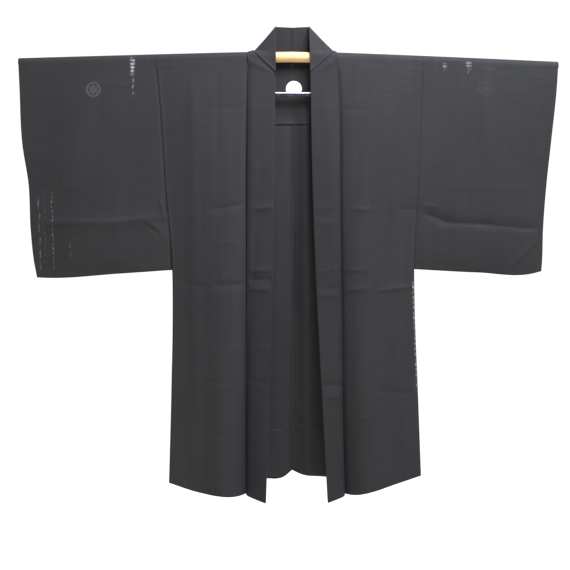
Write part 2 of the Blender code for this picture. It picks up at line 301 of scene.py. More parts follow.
@dataclass(frozen=True)
class Half:
    """One side of the garment, with the surfaces that its pieces follow."""

    side: Side
    droop: float
    neck_x: float
    fronts: tuple[FrontLevel, ...]
    sleeve: tuple[SleeveLevel, ...]
    front_hem: tuple[HemPoint, ...]
    back_hem: tuple[HemPoint, ...]
    sleeve_hem: tuple[HemPoint, ...]
    rod_reach: float = 0.622
    droop_power: float = 1.15
    wrap_radius: float = 0.0143
    seam_half: float = 0.00005
    welt: float = 0.0003
    valley: float = 0.0080
    valley_on_body: float = 0.006
    valley_on_strip: float = 0.022
    neck_lean: float = 0.0

    @property
    def name(self) -> str:
        """The side's name as it ends a piece's name."""
        return self.side.name.lower()

    @property
    def sign(self) -> int:
        """The sign of X on this side."""
        return self.side.value

    @property
    def top_side_x(self) -> float:
        """Where the side seam meets the shoulder."""
        return self.fronts[0].side_x

    def place(self, x: Array, y: Array, drop: Array) -> Array:
        """Points from distances to the middle, depths with their sign and drops."""
        return np.stack([self.sign * x, y, -drop], axis=-1)

    def rod_drop(self, x: Array) -> Array:
        """How far the rod has bowed down at a distance from its middle."""
        return self.droop * (np.abs(x) / self.rod_reach) ** self.droop_power

    def valley_depth(self, drop: Array) -> Array:
        """How far the cloth sinks in at the collar's seam."""
        return self.valley * ramp(drop, 0.03, 0.30)

    def front_depth(self, across: Array, drop: Array) -> Array:
        """Depth of the front panel's face, from the collar seam (0) to the side seam (1)."""
        names = ("seam", "ridge", "middle", "side")
        table = np.stack([column(self.fronts, name, drop) for name in names], axis=-1)
        from_seam = across * (self.top_side_x - self.neck_x)
        sunk = self.valley_depth(drop) * np.exp(-from_seam / self.valley_on_body)
        return smooth([0.0, 0.22, 0.6, 1.0], table, across) - sunk

    def back_depth(self, share: Array, drop: Array) -> Array:
        """Depth of the back panel's face, from the centre back seam (0) to the side seam (1)."""
        names = ("neck", "centre", "neck", "middle")
        table = [column(BACK_LEVELS, name, drop) for name in names]
        table = np.stack([*table, column(self.fronts, "side", drop)], axis=-1)
        return smooth([-0.3, 0.0, 0.3, 0.65, 1.0], table, share)

    def front(self, across: Array, fall: Array) -> tuple[Array, Array, Array]:
        """Points of the front panel.

        Args:
            across: share of the way from the collar seam to the side seam.
            fall: share of the way from the rod to the hem.

        Returns:
            X, depth and drop of each point.
        """
        top = self.rod_drop(mix(self.fronts[0].seam_x, self.top_side_x, across))
        drop = mix(top, hem_drop(self.front_hem, across), fall)
        x = mix(column(self.fronts, "seam_x", drop), column(self.fronts, "side_x", drop), across)
        return x, self.front_depth(across, drop), drop

    def back(self, share: Array, fall: Array) -> tuple[Array, Array, Array]:
        """Points of the back panel.

        Args:
            share: share of the way from the centre back seam to the side seam.
            fall: share of the way from the rod to the hem.

        Returns:
            X, depth and drop of each point.
        """
        top = self.rod_drop(share * self.top_side_x)
        drop = mix(top, hem_drop(self.back_hem, share), fall)
        x = mix(self.seam_half, column(self.fronts, "side_x", drop), share)
        return x, self.back_depth(share, drop), drop

    def sleeve_x(self, across: Array, drop: Array) -> Array:
        """Distance from the middle of a sleeve point, from the armhole seam (0) to the wrist (1)."""
        inner = column(self.fronts, "side_x", drop) + 2 * self.seam_half
        return mix(inner, column(self.sleeve, "wrist_x", drop), across)

    def sleeve_sheet(self, across: Array, fall: Array, armhole_drop: float) -> tuple[Array, Array, Array]:
        """Points of one face of the sleeve, as X, half thickness and drop."""
        top = self.rod_drop(self.sleeve_x(across, np.zeros_like(across)))
        drop = mix(top, hem_drop(self.sleeve_hem, across), fall)
        sewn = ramp(drop, armhole_drop - 0.03, armhole_drop + 0.05)
        inner = mix(column(self.fronts, "side", drop), column(self.sleeve, "inner", drop), sewn)
        middle = column(self.sleeve, "middle", drop)
        wrist = column(self.sleeve, "wrist", drop)
        depth = smooth([0.0, 0.3, 0.7, 1.0], np.stack([inner, middle, middle, wrist], axis=-1), across)
        return self.sleeve_x(across, drop), depth, drop

    def over_rod(self, x: Array, degrees: Array, radius: Array) -> Array:
        """Points of cloth over the rod: 0 degrees faces the front and 180 the back."""
        angle = np.radians(degrees)
        points = np.empty((len(x), 3))
        points[:, 0] = self.sign * x
        points[:, 1] = -radius * np.cos(angle)
        points[:, 2] = radius * np.sin(angle) - self.rod_drop(x)
        return points

    def neck_line_x(self, degrees: Array) -> Array:
        """The body panel's inner edge over the rod: in to the neck point, then straight back."""
        return mix(self.fronts[0].seam_x, self.neck_x, (np.minimum(degrees, 90.0) / 90.0) ** 7)


RIGHT = Half(
    side=Side.RIGHT,
    droop=0.016,
    neck_x=0.0910,
    welt=0.0011,
    valley_on_body=0.007,
    valley_on_strip=0.030,
    fronts=(
        FrontLevel(0.0, 0.1062, 0.3277, 0.0400, 0.0175, 0.0143, 0.0143, 0.0143, 0.0143),
        FrontLevel(0.120, 0.1070, 0.3170, 0.0415, 0.0190, 0.0150, 0.0180, 0.0170, 0.0132),
        FrontLevel(0.320, 0.1075, 0.3040, 0.0435, 0.0240, 0.0165, 0.0220, 0.0190, 0.0106),
        FrontLevel(0.520, 0.1085, 0.2870, 0.0470, 0.0290, 0.0180, 0.0280, 0.0220, 0.0095),
        FrontLevel(0.600, 0.1090, 0.2860, 0.0490, 0.0330, 0.0190, 0.0310, 0.0240, 0.0115),
        FrontLevel(0.800, 0.1105, 0.2885, 0.0555, 0.0410, 0.0215, 0.0410, 0.0300, 0.0180),
        FrontLevel(1.060, 0.1123, 0.2945, 0.0640, 0.0560, 0.0240, 0.0500, 0.0370, 0.0300),
    ),
    sleeve=(
        SleeveLevel(0.0, 0.6554, 0.0143, 0.0143, 0.0143),
        SleeveLevel(0.072, 0.6524, 0.0137, 0.0145, 0.0120),
        SleeveLevel(0.211, 0.6460, 0.0120, 0.0135, 0.0080),
        SleeveLevel(0.302, 0.6320, 0.0109, 0.0125, 0.0060),
        SleeveLevel(0.418, 0.6265, 0.0100, 0.0115, 0.0046),
        SleeveLevel(0.490, 0.6190, 0.0056, 0.0080, 0.0038),
        SleeveLevel(0.532, 0.6110, 0.0034, 0.0036, 0.0034),
    ),
    front_hem=(
        HemPoint(0.0, 1.046), HemPoint(0.1, 1.049), HemPoint(0.35, 1.047), HemPoint(0.6, 1.040),
        HemPoint(1.0, 1.018),
    ),
    back_hem=(HemPoint(0.0, 0.996), HemPoint(0.06, 1.010), HemPoint(0.25, 1.014), HemPoint(1.0, 1.020)),
    sleeve_hem=(HemPoint(0.0, 0.511), HemPoint(0.4, 0.520), HemPoint(0.93, 0.530), HemPoint(1.0, 0.529)),
)

LEFT = Half(
    side=Side.LEFT,
    droop=0.025,
    neck_x=0.1000,
    valley_on_body=0.022,
    valley_on_strip=0.010,
    neck_lean=0.0028,
    fronts=(
        FrontLevel(0.0, 0.1080, 0.3126, 0.0440, 0.0175, 0.0143, 0.0143, 0.0143, 0.0143),
        FrontLevel(0.120, 0.1134, 0.3090, 0.0460, 0.0180, 0.0150, 0.0180, 0.0170, 0.0132),
        FrontLevel(0.320, 0.1150, 0.3010, 0.0500, 0.0190, 0.0165, 0.0220, 0.0190, 0.0106),
        FrontLevel(0.520, 0.1175, 0.2925, 0.0575, 0.0225, 0.0180, 0.0280, 0.0220, 0.0095),
        FrontLevel(0.600, 0.1190, 0.2935, 0.0610, 0.0250, 0.0190, 0.0310, 0.0240, 0.0115),
        FrontLevel(0.800, 0.1215, 0.3005, 0.0715, 0.0340, 0.0220, 0.0420, 0.0310, 0.0180),
        FrontLevel(1.060, 0.1280, 0.3090, 0.0855, 0.0480, 0.0260, 0.0500, 0.0400, 0.0300),
    ),
    sleeve=(
        SleeveLevel(0.0, 0.6373, 0.0143, 0.0143, 0.0143),
        SleeveLevel(0.072, 0.6335, 0.0137, 0.0145, 0.0120),
        SleeveLevel(0.211, 0.6196, 0.0120, 0.0135, 0.0080),
        SleeveLevel(0.302, 0.6100, 0.0109, 0.0125, 0.0060),
        SleeveLevel(0.418, 0.6015, 0.0100, 0.0115, 0.0046),
        SleeveLevel(0.490, 0.5995, 0.0056, 0.0080, 0.0038),
        SleeveLevel(0.520, 0.5970, 0.0034, 0.0036, 0.0034),
    ),
    front_hem=(
        HemPoint(0.0, 1.046), HemPoint(0.1, 1.046), HemPoint(0.35, 1.037), HemPoint(0.68, 1.019),
        HemPoint(1.0, 1.001),
    ),
    back_hem=(HemPoint(0.0, 0.996), HemPoint(0.06, 1.004), HemPoint(0.25, 1.010), HemPoint(1.0, 1.003)),
    sleeve_hem=(HemPoint(0.0, 0.509), HemPoint(0.5, 0.517), HemPoint(0.94, 0.519), HemPoint(1.0, 0.514)),
)


FRONT_CREASES = CreasePattern(
    (
        # the right sleeve's level crease hangs over what is below it, with a pucker at the seam
        Crease((-0.600, 0.397), (-0.405, 0.396), 0.0052, 0.008, below=0.017),
        Crease((-0.440, 0.399), (-0.316, 0.383), 0.0056, 0.008, below=0.016),
        Crease((-0.352, 0.391), (-0.316, 0.420), 0.0030, 0.004),
        Crease((-0.345, 0.402), (-0.318, 0.426), -0.0027, 0.004),
        Crease((-0.316, 0.340), (-0.303, 0.400), 0.0033, 0.005),
        Crease((-0.306, 0.350), (-0.300, 0.420), -0.0021, 0.005),
        Crease((-0.500, 0.060), (-0.380, 0.072), 0.0012, 0.006),
        Crease((-0.560, 0.300), (-0.480, 0.335), 0.0009, 0.008),
        # the left sleeve's level crease sags, and its corner was once turned up
        Crease((0.311, 0.376), (0.385, 0.400), -0.0050, 0.011, below=0.006),
        Crease((0.345, 0.398), (0.480, 0.402), -0.0050, 0.011, below=0.006),
        Crease((0.435, 0.401), (0.604, 0.416), -0.0048, 0.011, below=0.005),
        Crease((0.314, 0.356), (0.352, 0.362), 0.0027, 0.005),
        Crease((0.340, 0.312), (0.600, 0.318), 0.0010, 0.010),
        Crease((0.508, 0.520), (0.592, 0.434), 0.0021, 0.0045),
        Crease((0.534, 0.090), (0.531, 0.340), -0.0010, 0.004),
        Crease((0.549, 0.120), (0.547, 0.300), -0.0006, 0.004),
        Crease((0.250, 0.368), (0.302, 0.366), -0.0024, 0.007),
        # the left shoulder
        Crease((0.118, 0.000), (0.186, 0.040), 0.0019, 0.005),
        # faint lines down the fronts
        Crease((-0.178, 0.030), (-0.180, 0.470), -0.0010, 0.005),
        Crease((-0.236, 0.060), (-0.232, 0.980), 0.0018, 0.014, Fold.SOFT),
        Crease((0.180, 0.050), (0.190, 0.620), -0.0010, 0.006),
        Crease((0.245, 0.300), (0.262, 0.960), 0.0021, 0.016, Fold.SOFT),
        # level creases left by folding the jacket away
        Crease((-0.215, 0.126), (-0.112, 0.122), -0.0012, 0.006),
        Crease((-0.200, 0.368), (-0.112, 0.354), -0.0033, 0.006),
        Crease((-0.290, 0.380), (-0.215, 0.386), 0.0014, 0.008),
        Crease((-0.180, 0.448), (-0.120, 0.444), 0.0012, 0.007),
        Crease((-0.190, 0.549), (-0.110, 0.545), -0.0039, 0.006),
        Crease((-0.268, 0.543), (-0.200, 0.552), -0.0018, 0.007),
        Crease((-0.220, 0.702), (-0.112, 0.706), 0.0014, 0.008),
        Crease((-0.215, 0.776), (-0.118, 0.779), -0.0016, 0.007),
        Crease((-0.200, 0.905), (-0.120, 0.899), -0.0014, 0.008),
        Crease((0.120, 0.125), (0.200, 0.129), -0.0009, 0.006),
        Crease((0.138, 0.365), (0.190, 0.368), 0.0030, 0.005),
        Crease((0.128, 0.513), (0.182, 0.510), 0.0024, 0.005),
        Crease((0.200, 0.560), (0.292, 0.551), 0.0039, 0.006),
        Crease((0.128, 0.561), (0.184, 0.555), 0.0032, 0.005),
        Crease((0.190, 0.798), (0.290, 0.806), -0.0027, 0.007),
        Crease((0.140, 0.860), (0.215, 0.866), 0.0012, 0.008),
        # small gathers above the right front's hem
        Crease((-0.150, 1.005), (-0.152, 1.050), 0.0026, 0.0040),
        Crease((-0.163, 1.016), (-0.167, 1.050), 0.0024, 0.0036),
        Crease((-0.178, 1.010), (-0.181, 1.048), 0.0018, 0.0040),
        Crease((-0.191, 1.018), (-0.195, 1.048), 0.0021, 0.0036),
    ),
    phase=0.4,
)

BACK_CREASES = CreasePattern(
    (
        Crease((-0.590, 0.398), (-0.330, 0.388), 0.0018, 0.010, below=0.014),
        Crease((0.335, 0.384), (0.585, 0.408), -0.0018, 0.010, below=0.007),
        Crease((-0.285, 0.366), (-0.020, 0.362), 0.0012, 0.006),
        Crease((0.020, 0.362), (0.290, 0.368), 0.0012, 0.006),
        Crease((-0.260, 0.556), (-0.060, 0.560), -0.0014, 0.006),
        Crease((0.050, 0.558), (0.280, 0.552), -0.0014, 0.006),
        Crease((-0.270, 0.770), (-0.080, 0.766), 0.0010, 0.007),
        Crease((0.080, 0.768), (0.285, 0.774), 0.0010, 0.007),
        Crease((-0.160, 0.060), (-0.165, 0.980), -0.0014, 0.014, Fold.SOFT),
        Crease((0.170, 0.080), (0.160, 0.960), -0.0014, 0.015, Fold.SOFT),
        # the centre back sinks away from the wearer, deeper down the back
        Crease((0.001, 0.100), (0.001, 0.640), 0.0062, 0.014),
        Crease((0.002, 0.400), (0.002, 1.060), 0.0056, 0.016),
        Crease((-0.034, 0.300), (-0.036, 0.960), -0.0014, 0.012, Fold.SOFT),
        Crease((0.031, 0.130), (0.036, 1.030), -0.0068, 0.014, Fold.SOFT),
        Crease((0.006, 0.815), (-0.010, 0.872), -0.0012, 0.006),
        Crease((0.008, 0.815), (0.030, 0.885), -0.0022, 0.007),
        Crease((-0.020, 0.930), (-0.022, 1.010), -0.0012, 0.010, Fold.SOFT),
        Crease((0.500, 0.480), (0.560, 0.430), 0.0010, 0.005),
    ),
    phase=2.0,
)

STRIP_CREASES = CreasePattern(
    (
        # down the right side
        Crease((-0.105, 0.125), (-0.045, 0.127), 0.0010, 0.006),
        Crease((-0.096, 0.366), (-0.040, 0.360), 0.0042, 0.006),
        Crease((-0.105, 0.268), (-0.045, 0.264), 0.0013, 0.006),
        Crease((-0.104, 0.514), (-0.045, 0.511), 0.0036, 0.006),
        Crease((-0.104, 0.536), (-0.045, 0.534), -0.0036, 0.007),
        Crease((-0.104, 0.558), (-0.048, 0.556), 0.0034, 0.006),
        Crease((-0.104, 0.700), (-0.052, 0.697), 0.0014, 0.008),
        Crease((-0.104, 0.776), (-0.055, 0.779), -0.0017, 0.007),
        Crease((-0.106, 0.920), (-0.060, 0.916), 0.0013, 0.008),
        # down the left side
        Crease((0.048, 0.124), (0.110, 0.128), 0.0010, 0.006),
        Crease((0.052, 0.366), (0.110, 0.362), 0.0014, 0.006),
        Crease((0.052, 0.398), (0.112, 0.401), 0.0020, 0.007),
        Crease((0.056, 0.515), (0.114, 0.511), 0.0017, 0.006),
        Crease((0.058, 0.552), (0.116, 0.557), -0.0017, 0.006),
        Crease((0.058, 0.572), (0.116, 0.574), 0.0022, 0.006),
        Crease((0.070, 0.783), (0.120, 0.788), -0.0042, 0.007),
        Crease((0.070, 0.812), (0.120, 0.816), 0.0025, 0.007),
        Crease((0.076, 0.930), (0.124, 0.934), 0.0013, 0.008),
    ),
    phase=1.1,
    rippled=0.5,
)


# --------------------------------------------------------------------------------------------------
# Sheets
# --------------------------------------------------------------------------------------------------


@dataclass
class Sheet:
    """A grid of cloth: points row by row, with the cloth's own coordinates in metres."""

    points: Array
    cloth: Array
    keep: Optional[Array] = None

    def normals(self) -> Array:
        """Unit normals of the grid, by its neighbours."""
        across = np.gradient(self.points, axis=1)
        along = np.gradient(self.points, axis=0)
        found = np.cross(across, along)
        return found / np.maximum(np.linalg.norm(found, axis=-1, keepdims=True), 1e-12)


def cell_quads(rows: int, columns: int, keep: Optional[Array]) -> Array:
    """Corner numbers of a grid's cells, for those that are kept."""
    corner = np.arange(rows * columns).reshape(rows, columns)
    quads = np.stack([corner[:-1, :-1], corner[:-1, 1:], corner[1:, 1:], corner[1:, :-1]], axis=-1)
    return quads[keep] if keep is not None else quads.reshape(-1, 4)


class ClothPiece:
    """Makes one cloth piece out of its sheet and fixes it to the frame."""

    def __init__(self, name: str, wall: float, slot: str, replaces: Sequence[str] = ()) -> None:
        """Names the piece, its wall, a slot name that nothing reads, and the solids it stands for."""
        self.name = name
        self.wall = wall
        self.slot = slot
        self.replaces = replaces

    def make(
        self, sheet: Sheet, outward: Array, material: bpy.types.Material, extra: Sequence = ()
    ) -> bpy.types.Object:
        """Builds the mesh, gives it a wall on its inner side and lets it ride on the frame.

        Args:
            sheet: the grid.
            outward: a rough outward direction at each point.
            material: the finish.
            extra: more quads between points of the grid, such as sewn ends.

        Returns:
            The finished object.
        """
        rows, columns = sheet.points.shape[:2]
        quads = cell_quads(rows, columns, sheet.keep)
        if len(extra):
            quads = np.concatenate([quads, np.asarray(extra, int).reshape(-1, 4)])
        points = sheet.points.reshape(-1, 3)
        a, b, c, d = (points[quads[:, corner]] for corner in range(4))
        normal = np.cross(c - a, d - b)
        facing = np.sum(normal * outward.reshape(-1, 3)[quads[:, 0]], axis=-1).sum()
        if facing < 0:
            quads = quads[:, ::-1]
        used, quads = np.unique(quads, return_inverse=True)
        quads = quads.reshape(-1, 4)
        mesh = bpy.data.meshes.new(self.name)
        mesh.from_pydata(points[used].tolist(), [], quads.tolist())
        layer = mesh.uv_layers.new(name="cloth")
        cloth = sheet.cloth.reshape(-1, 2)[used]
        layer.data.foreach_set("uv", cloth[quads.ravel()].astype(np.float32).ravel())
        mesh.materials.append(material)
        mesh.shade_smooth()
        obj = bpy.data.objects.new(self.name, mesh)
        bpy.context.scene.collection.objects.link(obj)
        finish_with_wall(obj, self.wall)
        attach(obj, "root")
        if self.replaces:
            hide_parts(*self.replaces)
        LOG.info("%s: %d faces", self.name, len(obj.data.polygons))
        return obj


def deselect() -> None:
    """Leaves nothing selected."""
    bpy.ops.object.select_all(action="DESELECT")


def pick(obj: bpy.types.Object) -> None:
    """Leaves only this object selected and active."""
    deselect()
    obj.select_set(True)
    bpy.context.view_layer.objects.active = obj


def finish_with_wall(obj: bpy.types.Object, wall: float) -> None:
    """Gives an open sheet its wall on the inner side and applies it."""
    pick(obj)
    solidify = obj.modifiers.new("wall", "SOLIDIFY")
    solidify.thickness = wall
    solidify.offset = -1.0
    solidify.use_even_offset = False
    bpy.ops.object.modifier_apply(modifier=solidify.name)


# --------------------------------------------------------------------------------------------------
# Finishes
# --------------------------------------------------------------------------------------------------


class Nodes:
    """A short hand for building a node tree."""

    def __init__(self, tree: bpy.types.NodeTree) -> None:
        """Keeps the tree."""
        self.tree = tree

    def add(self, kind: str, **settings: object) -> bpy.types.Node:
        """Adds a node and sets its properties."""
        node = self.tree.nodes.new(kind)
        for name, value in settings.items():
            setattr(node, name, value)
        return node

    def link(self, source: object, target: object) -> None:
        """Joins two sockets."""
        self.tree.links.new(source, target)

    def math(self, operation: str, first: object, second: object = None, clamp: bool = False) -> object:
        """Adds a Math node on sockets or numbers and returns its output."""
        node = self.add("ShaderNodeMath", operation=operation, use_clamp=clamp)
        for socket, value in zip(node.inputs, (first, second)):
            if isinstance(value, (int, float)):
                socket.default_value = value
            elif value is not None:
                self.link(value, socket)
        return node.outputs[0]

    def remap(
        self, value: object, low: float, high: float, to_low: float = 0.0, to_high: float = 1.0
    ) -> object:
        """Maps a range to another, clamped."""
        node = self.add("ShaderNodeMapRange")
        self.link(value, node.inputs["Value"])
        for name, number in (("From Min", low), ("From Max", high), ("To Min", to_low), ("To Max", to_high)):
            node.inputs[name].default_value = number
        return node.outputs["Result"]

    def noise(self, vector: object, scale: float, detail: float = 3.0) -> object:
        """Adds a noise texture and returns its value."""
        node = self.add("ShaderNodeTexNoise")
        self.link(vector, node.inputs["Vector"])
        node.inputs["Scale"].default_value = scale
        node.inputs["Detail"].default_value = detail
        return node.outputs["Fac"]

    def split(self, vector: object) -> tuple[object, object]:
        """The first two parts of a coordinate."""
        node = self.add("ShaderNodeSeparateXYZ")
        self.link(vector, node.inputs[0])
        return node.outputs["X"], node.outputs["Y"]

    def times(self, first: object, second: object, clamp: bool = False) -> object:
        """Multiplies two sockets or numbers."""
        return self.math("MULTIPLY", first, second, clamp)

    def plus(self, first: object, second: object) -> object:
        """Adds two sockets or numbers."""
        return self.math("ADD", first, second)

    def minus(self, first: object, second: object, clamp: bool = False) -> object:
        """Takes the second socket or number from the first."""
        return self.math("SUBTRACT", first, second, clamp)

    def wave(self, value: object, period: object) -> object:
        """A sine wave along a coordinate, with a period in its units."""
        return self.math("SINE", self.times(self.math("DIVIDE", value, period), 2 * math.pi))

    def bump(self, shader: bpy.types.Node, height: object, strength: float, distance: float) -> None:
        """Raises a shader's surface by a height."""
        node = self.add("ShaderNodeBump")
        node.inputs["Strength"].default_value = strength
        node.inputs["Distance"].default_value = distance
        self.link(height, node.inputs["Height"])
        self.link(node.outputs["Normal"], shader.inputs["Normal"])

    def stretch(self, vector: object, scale: Sequence[float], move: Sequence[float] = (0, 0, 0)) -> object:
        """Scales and moves a coordinate."""
        node = self.add("ShaderNodeMapping")
        self.link(vector, node.inputs["Vector"])
        node.inputs["Scale"].default_value = scale
        node.inputs["Location"].default_value = move
        return node.outputs["Vector"]


def new_group(name: str, numbers: Sequence[str], outputs: Sequence[str]) -> tuple[Nodes, dict, dict]:
    """Makes a shader node group that takes cloth coordinates and numbers, and puts out numbers.

    Args:
        name: the group's name.
        numbers: the names of the inputs after the coordinates.
        outputs: the names of the outputs.

    Returns:
        The node helper, the input sockets and the output sockets by name.
    """
    tree = bpy.data.node_groups.new(name, "ShaderNodeTree")
    tree.interface.new_socket("Cloth", in_out="INPUT", socket_type="NodeSocketVector")
    for way, names in (("INPUT", numbers), ("OUTPUT", outputs)):
        for socket in names:
            tree.interface.new_socket(socket, in_out=way, socket_type="NodeSocketFloat")
    nodes = Nodes(tree)
    entry, leave = nodes.add("NodeGroupInput"), nodes.add("NodeGroupOutput")
    return nodes, {s: entry.outputs[s] for s in ("Cloth", *numbers)}, {s: leave.inputs[s] for s in outputs}


def ribbed_weave_group() -> bpy.types.NodeTree:
    """Cloth woven in level ribs with open rows between them, and uneven yarns both ways.

    Returns:
        The group. It takes cloth coordinates in metres and puts out a shade mask and a height.
    """
    nodes, given, out = new_group("ribbed_weave", ("Rib", "Yarn"), ("Shade", "Height"))
    cloth = given["Cloth"]
    u, v = nodes.split(cloth)
    open_row = nodes.remap(nodes.wave(v, given["Rib"]), 0.45, 0.95)
    yarns = nodes.times(nodes.plus(nodes.wave(u, given["Yarn"]), nodes.wave(v, given["Yarn"])), 0.25)
    weft_slubs = nodes.noise(nodes.stretch(cloth, (13.0, 210.0, 1.0), (3.7, 1.9, 0.0)), 1.0, 3.0)
    warp_bands = nodes.noise(nodes.stretch(cloth, (62.0, 5.0, 1.0), (1.3, 0.4, 0.0)), 1.0, 2.0)
    fine_slubs = nodes.noise(nodes.stretch(cloth, (60.0, 900.0, 1.0)), 1.0, 2.0)
    streaks = nodes.plus(nodes.times(weft_slubs, 0.58), nodes.times(warp_bands, 0.42))
    height = nodes.plus(yarns, nodes.times(fine_slubs, 0.7))
    nodes.link(nodes.minus(height, open_row), out["Height"])
    shade = nodes.plus(nodes.remap(streaks, 0.34, 0.66, 0.0, 0.8), nodes.times(fine_slubs, 0.25))
    nodes.link(nodes.minus(shade, nodes.times(open_row, 0.25), clamp=True), out["Shade"])
    return nodes.tree


def glint_group() -> bpy.types.NodeTree:
    """A wavering, broken line of painted glints, pale light from behind where two layers of open rows line up.

    Returns:
        The group. It takes cloth coordinates and the line's sizes in metres, and puts out a mask.
    """
    sizes = ("Across", "Top", "Bottom", "Width", "Waver", "Lean", "Fleck")
    nodes, given, out = new_group("glint_line", sizes, ("Mask",))
    cloth = given["Cloth"]
    u, v = nodes.split(cloth)
    swing = nodes.minus(nodes.noise(nodes.stretch(cloth, (0.0, 38.0, 1.0)), 1.0, 3.0), 0.5)
    centre = nodes.plus(given["Across"], nodes.times(swing, given["Waver"]))
    centre = nodes.plus(centre, nodes.times(nodes.minus(v, given["Top"]), given["Lean"]))
    off = nodes.math("DIVIDE", nodes.math("ABSOLUTE", nodes.minus(u, centre)), given["Width"])
    line = nodes.remap(off, 1.0, 0.25)
    inside_top = nodes.times(nodes.minus(given["Top"], v), 150.0, clamp=True)
    inside_bottom = nodes.times(nodes.minus(v, given["Bottom"]), 60.0, clamp=True)
    uneven = nodes.noise(nodes.stretch(cloth, (150.0, 75.0, 1.0), (0.0, 0.7, 0.0)), 1.0, 2.0)
    beat = nodes.remap(nodes.wave(v, given["Fleck"]), -0.6, 0.5, 0.15, 1.0)
    flecks = nodes.times(beat, nodes.remap(uneven, 0.36, 0.62, 0.1, 1.0))
    ends = nodes.times(inside_top, inside_bottom)
    nodes.link(nodes.times(nodes.times(line, ends), flecks), out["Mask"])
    return nodes.tree


def rosette_group() -> bpy.types.NodeTree:
    """A plain six-petalled rosette in a ring, for a dyed crest.

    Returns:
        The group. It takes coordinates from the crest's centre, in crest radii, and how far the ground of
        the crest is filled in, and puts out a mask.
    """
    nodes, given, out = new_group("rosette", ("Filled",), ("Mask",))
    x, y = nodes.split(given["Cloth"])
    reach = nodes.math("SQRT", nodes.plus(nodes.times(x, x), nodes.times(y, y)))
    disc = nodes.remap(reach, 1.0, 0.96)
    ring = nodes.times(nodes.remap(reach, 0.68, 0.72), disc)
    lobes = nodes.math("ABSOLUTE", nodes.math("SINE", nodes.times(nodes.math("ARCTAN2", y, x), 3.0)))
    petal_edge = nodes.plus(nodes.times(lobes, 0.20), 0.44)
    inside = nodes.remap(nodes.minus(petal_edge, reach), 0.0, 0.05)
    veins = nodes.remap(lobes, 0.05, 0.30, 0.55)
    heart = nodes.remap(reach, 0.13, 0.10)
    open_heart = nodes.remap(reach, 0.15, 0.19, 0.45)
    petals = nodes.times(nodes.times(inside, veins), open_heart)
    ground = nodes.times(disc, given["Filled"])
    mask = nodes.math("MAXIMUM", nodes.math("MAXIMUM", ring, petals), nodes.math("MAXIMUM", heart, ground))
    nodes.link(mask, out["Mask"])
    return nodes.tree


@dataclass(frozen=True)
class Crest:
    """A dyed crest: its centre in cloth coordinates, its radius and how strongly it shows."""

    u: float
    v: float
    radius: float = 0.018
    strength: float = 1.0
    filled: float = 0.0


@dataclass(frozen=True)
class GlintLine:
    """A painted line of glints, light seen through open rows: its place, ends, sizes and strength, in cloth
    metres.
    """

    across: float
    top: float
    bottom: float
    width: float = 0.0022
    waver: float = 0.004
    lean: float = 0.0
    fleck: float = 0.011
    strength: float = 0.3


@dataclass(frozen=True)
class ClothGroups:
    """The node groups that the cloth finishes share."""

    weave: bpy.types.NodeTree
    rosette: bpy.types.NodeTree
    glint: bpy.types.NodeTree


@dataclass(frozen=True)
class GauzeFinish:
    """Sheer ribbed summer cloth, dyed charcoal."""

    name: str
    dark: tuple[float, float, float] = (0.0141, 0.0137, 0.0122)
    light: tuple[float, float, float] = (0.0189, 0.0184, 0.0163)
    white: tuple[float, float, float] = (0.60, 0.58, 0.50)
    # the colour of the painted glints: light from behind, seen through the open rows
    pale: tuple[float, float, float] = (0.30, 0.29, 0.27)
    rib: float = 0.0017
    yarn: float = 0.00055
    roughness: tuple[float, float] = (0.80, 0.62)
    bump: float = 0.35
    bump_distance: float = 0.00025
    specular: float = 0.07
    sheen: float = 0.016
    sheen_roughness: float = 0.45
    sheen_tint: tuple[float, float, float] = (0.80, 0.84, 1.0)
    crests: tuple[Crest, ...] = ()
    glints: tuple[GlintLine, ...] = ()

    def build(self, groups: ClothGroups) -> bpy.types.Material:
        """Builds the material.

        Args:
            groups: the shared node groups.

        Returns:
            The material.
        """
        material, nodes, shader = new_material(self.name)
        cloth = nodes.add("ShaderNodeUVMap", uv_map="cloth").outputs["UV"]
        place = nodes.add("ShaderNodeTexCoord").outputs["Object"]
        woven = self.use(nodes, groups.weave, cloth, (self.rib, self.yarn))
        patches = nodes.remap(nodes.noise(nodes.stretch(place, (1.0, 1.0, 0.6)), 6.0, 5.0), 0.3, 0.7)
        shade = nodes.plus(nodes.times(woven.outputs["Shade"], 0.6), nodes.times(patches, 0.4))
        colour = mix_colours(nodes, shade, self.dark, self.light)
        for crest in self.crests:
            scale = 1 / crest.radius
            centred = nodes.stretch(cloth, (scale,) * 3, (-crest.u / crest.radius, -crest.v / crest.radius, 0))
            motif = self.use(nodes, groups.rosette, centred, (crest.filled,))
            colour = mix_colours(nodes, nodes.times(motif.outputs["Mask"], crest.strength), colour, self.white)
        # painted glints: pale light from behind, mixed into the colour along each line
        for line in self.glints:
            sizes = (line.across, line.top, line.bottom, line.width, line.waver, line.lean, line.fleck)
            flecks = self.use(nodes, groups.glint, cloth, sizes)
            colour = mix_colours(nodes, nodes.times(flecks.outputs["Mask"], line.strength), colour, self.pale)
        nodes.link(colour, shader.inputs["Base Color"])
        nodes.link(nodes.remap(woven.outputs["Shade"], 0.0, 1.0, *self.roughness), shader.inputs["Roughness"])
        nodes.bump(shader, woven.outputs["Height"], self.bump, self.bump_distance)
        shader.inputs["Specular IOR Level"].default_value = self.specular
        shader.inputs["Sheen Weight"].default_value = self.sheen
        shader.inputs["Sheen Roughness"].default_value = self.sheen_roughness
        shader.inputs["Sheen Tint"].default_value = (*self.sheen_tint, 1.0)
        return material

    @staticmethod
    def use(nodes: Nodes, group: bpy.types.NodeTree, cloth: object, numbers: Sequence[float]) -> bpy.types.Node:
        """Adds a node group on a coordinate and gives its other inputs their numbers."""
        node = nodes.add("ShaderNodeGroup", node_tree=group)
        nodes.link(cloth, node.inputs[0])
        for socket, value in zip(node.inputs[1:], numbers):
            socket.default_value = value
        return node


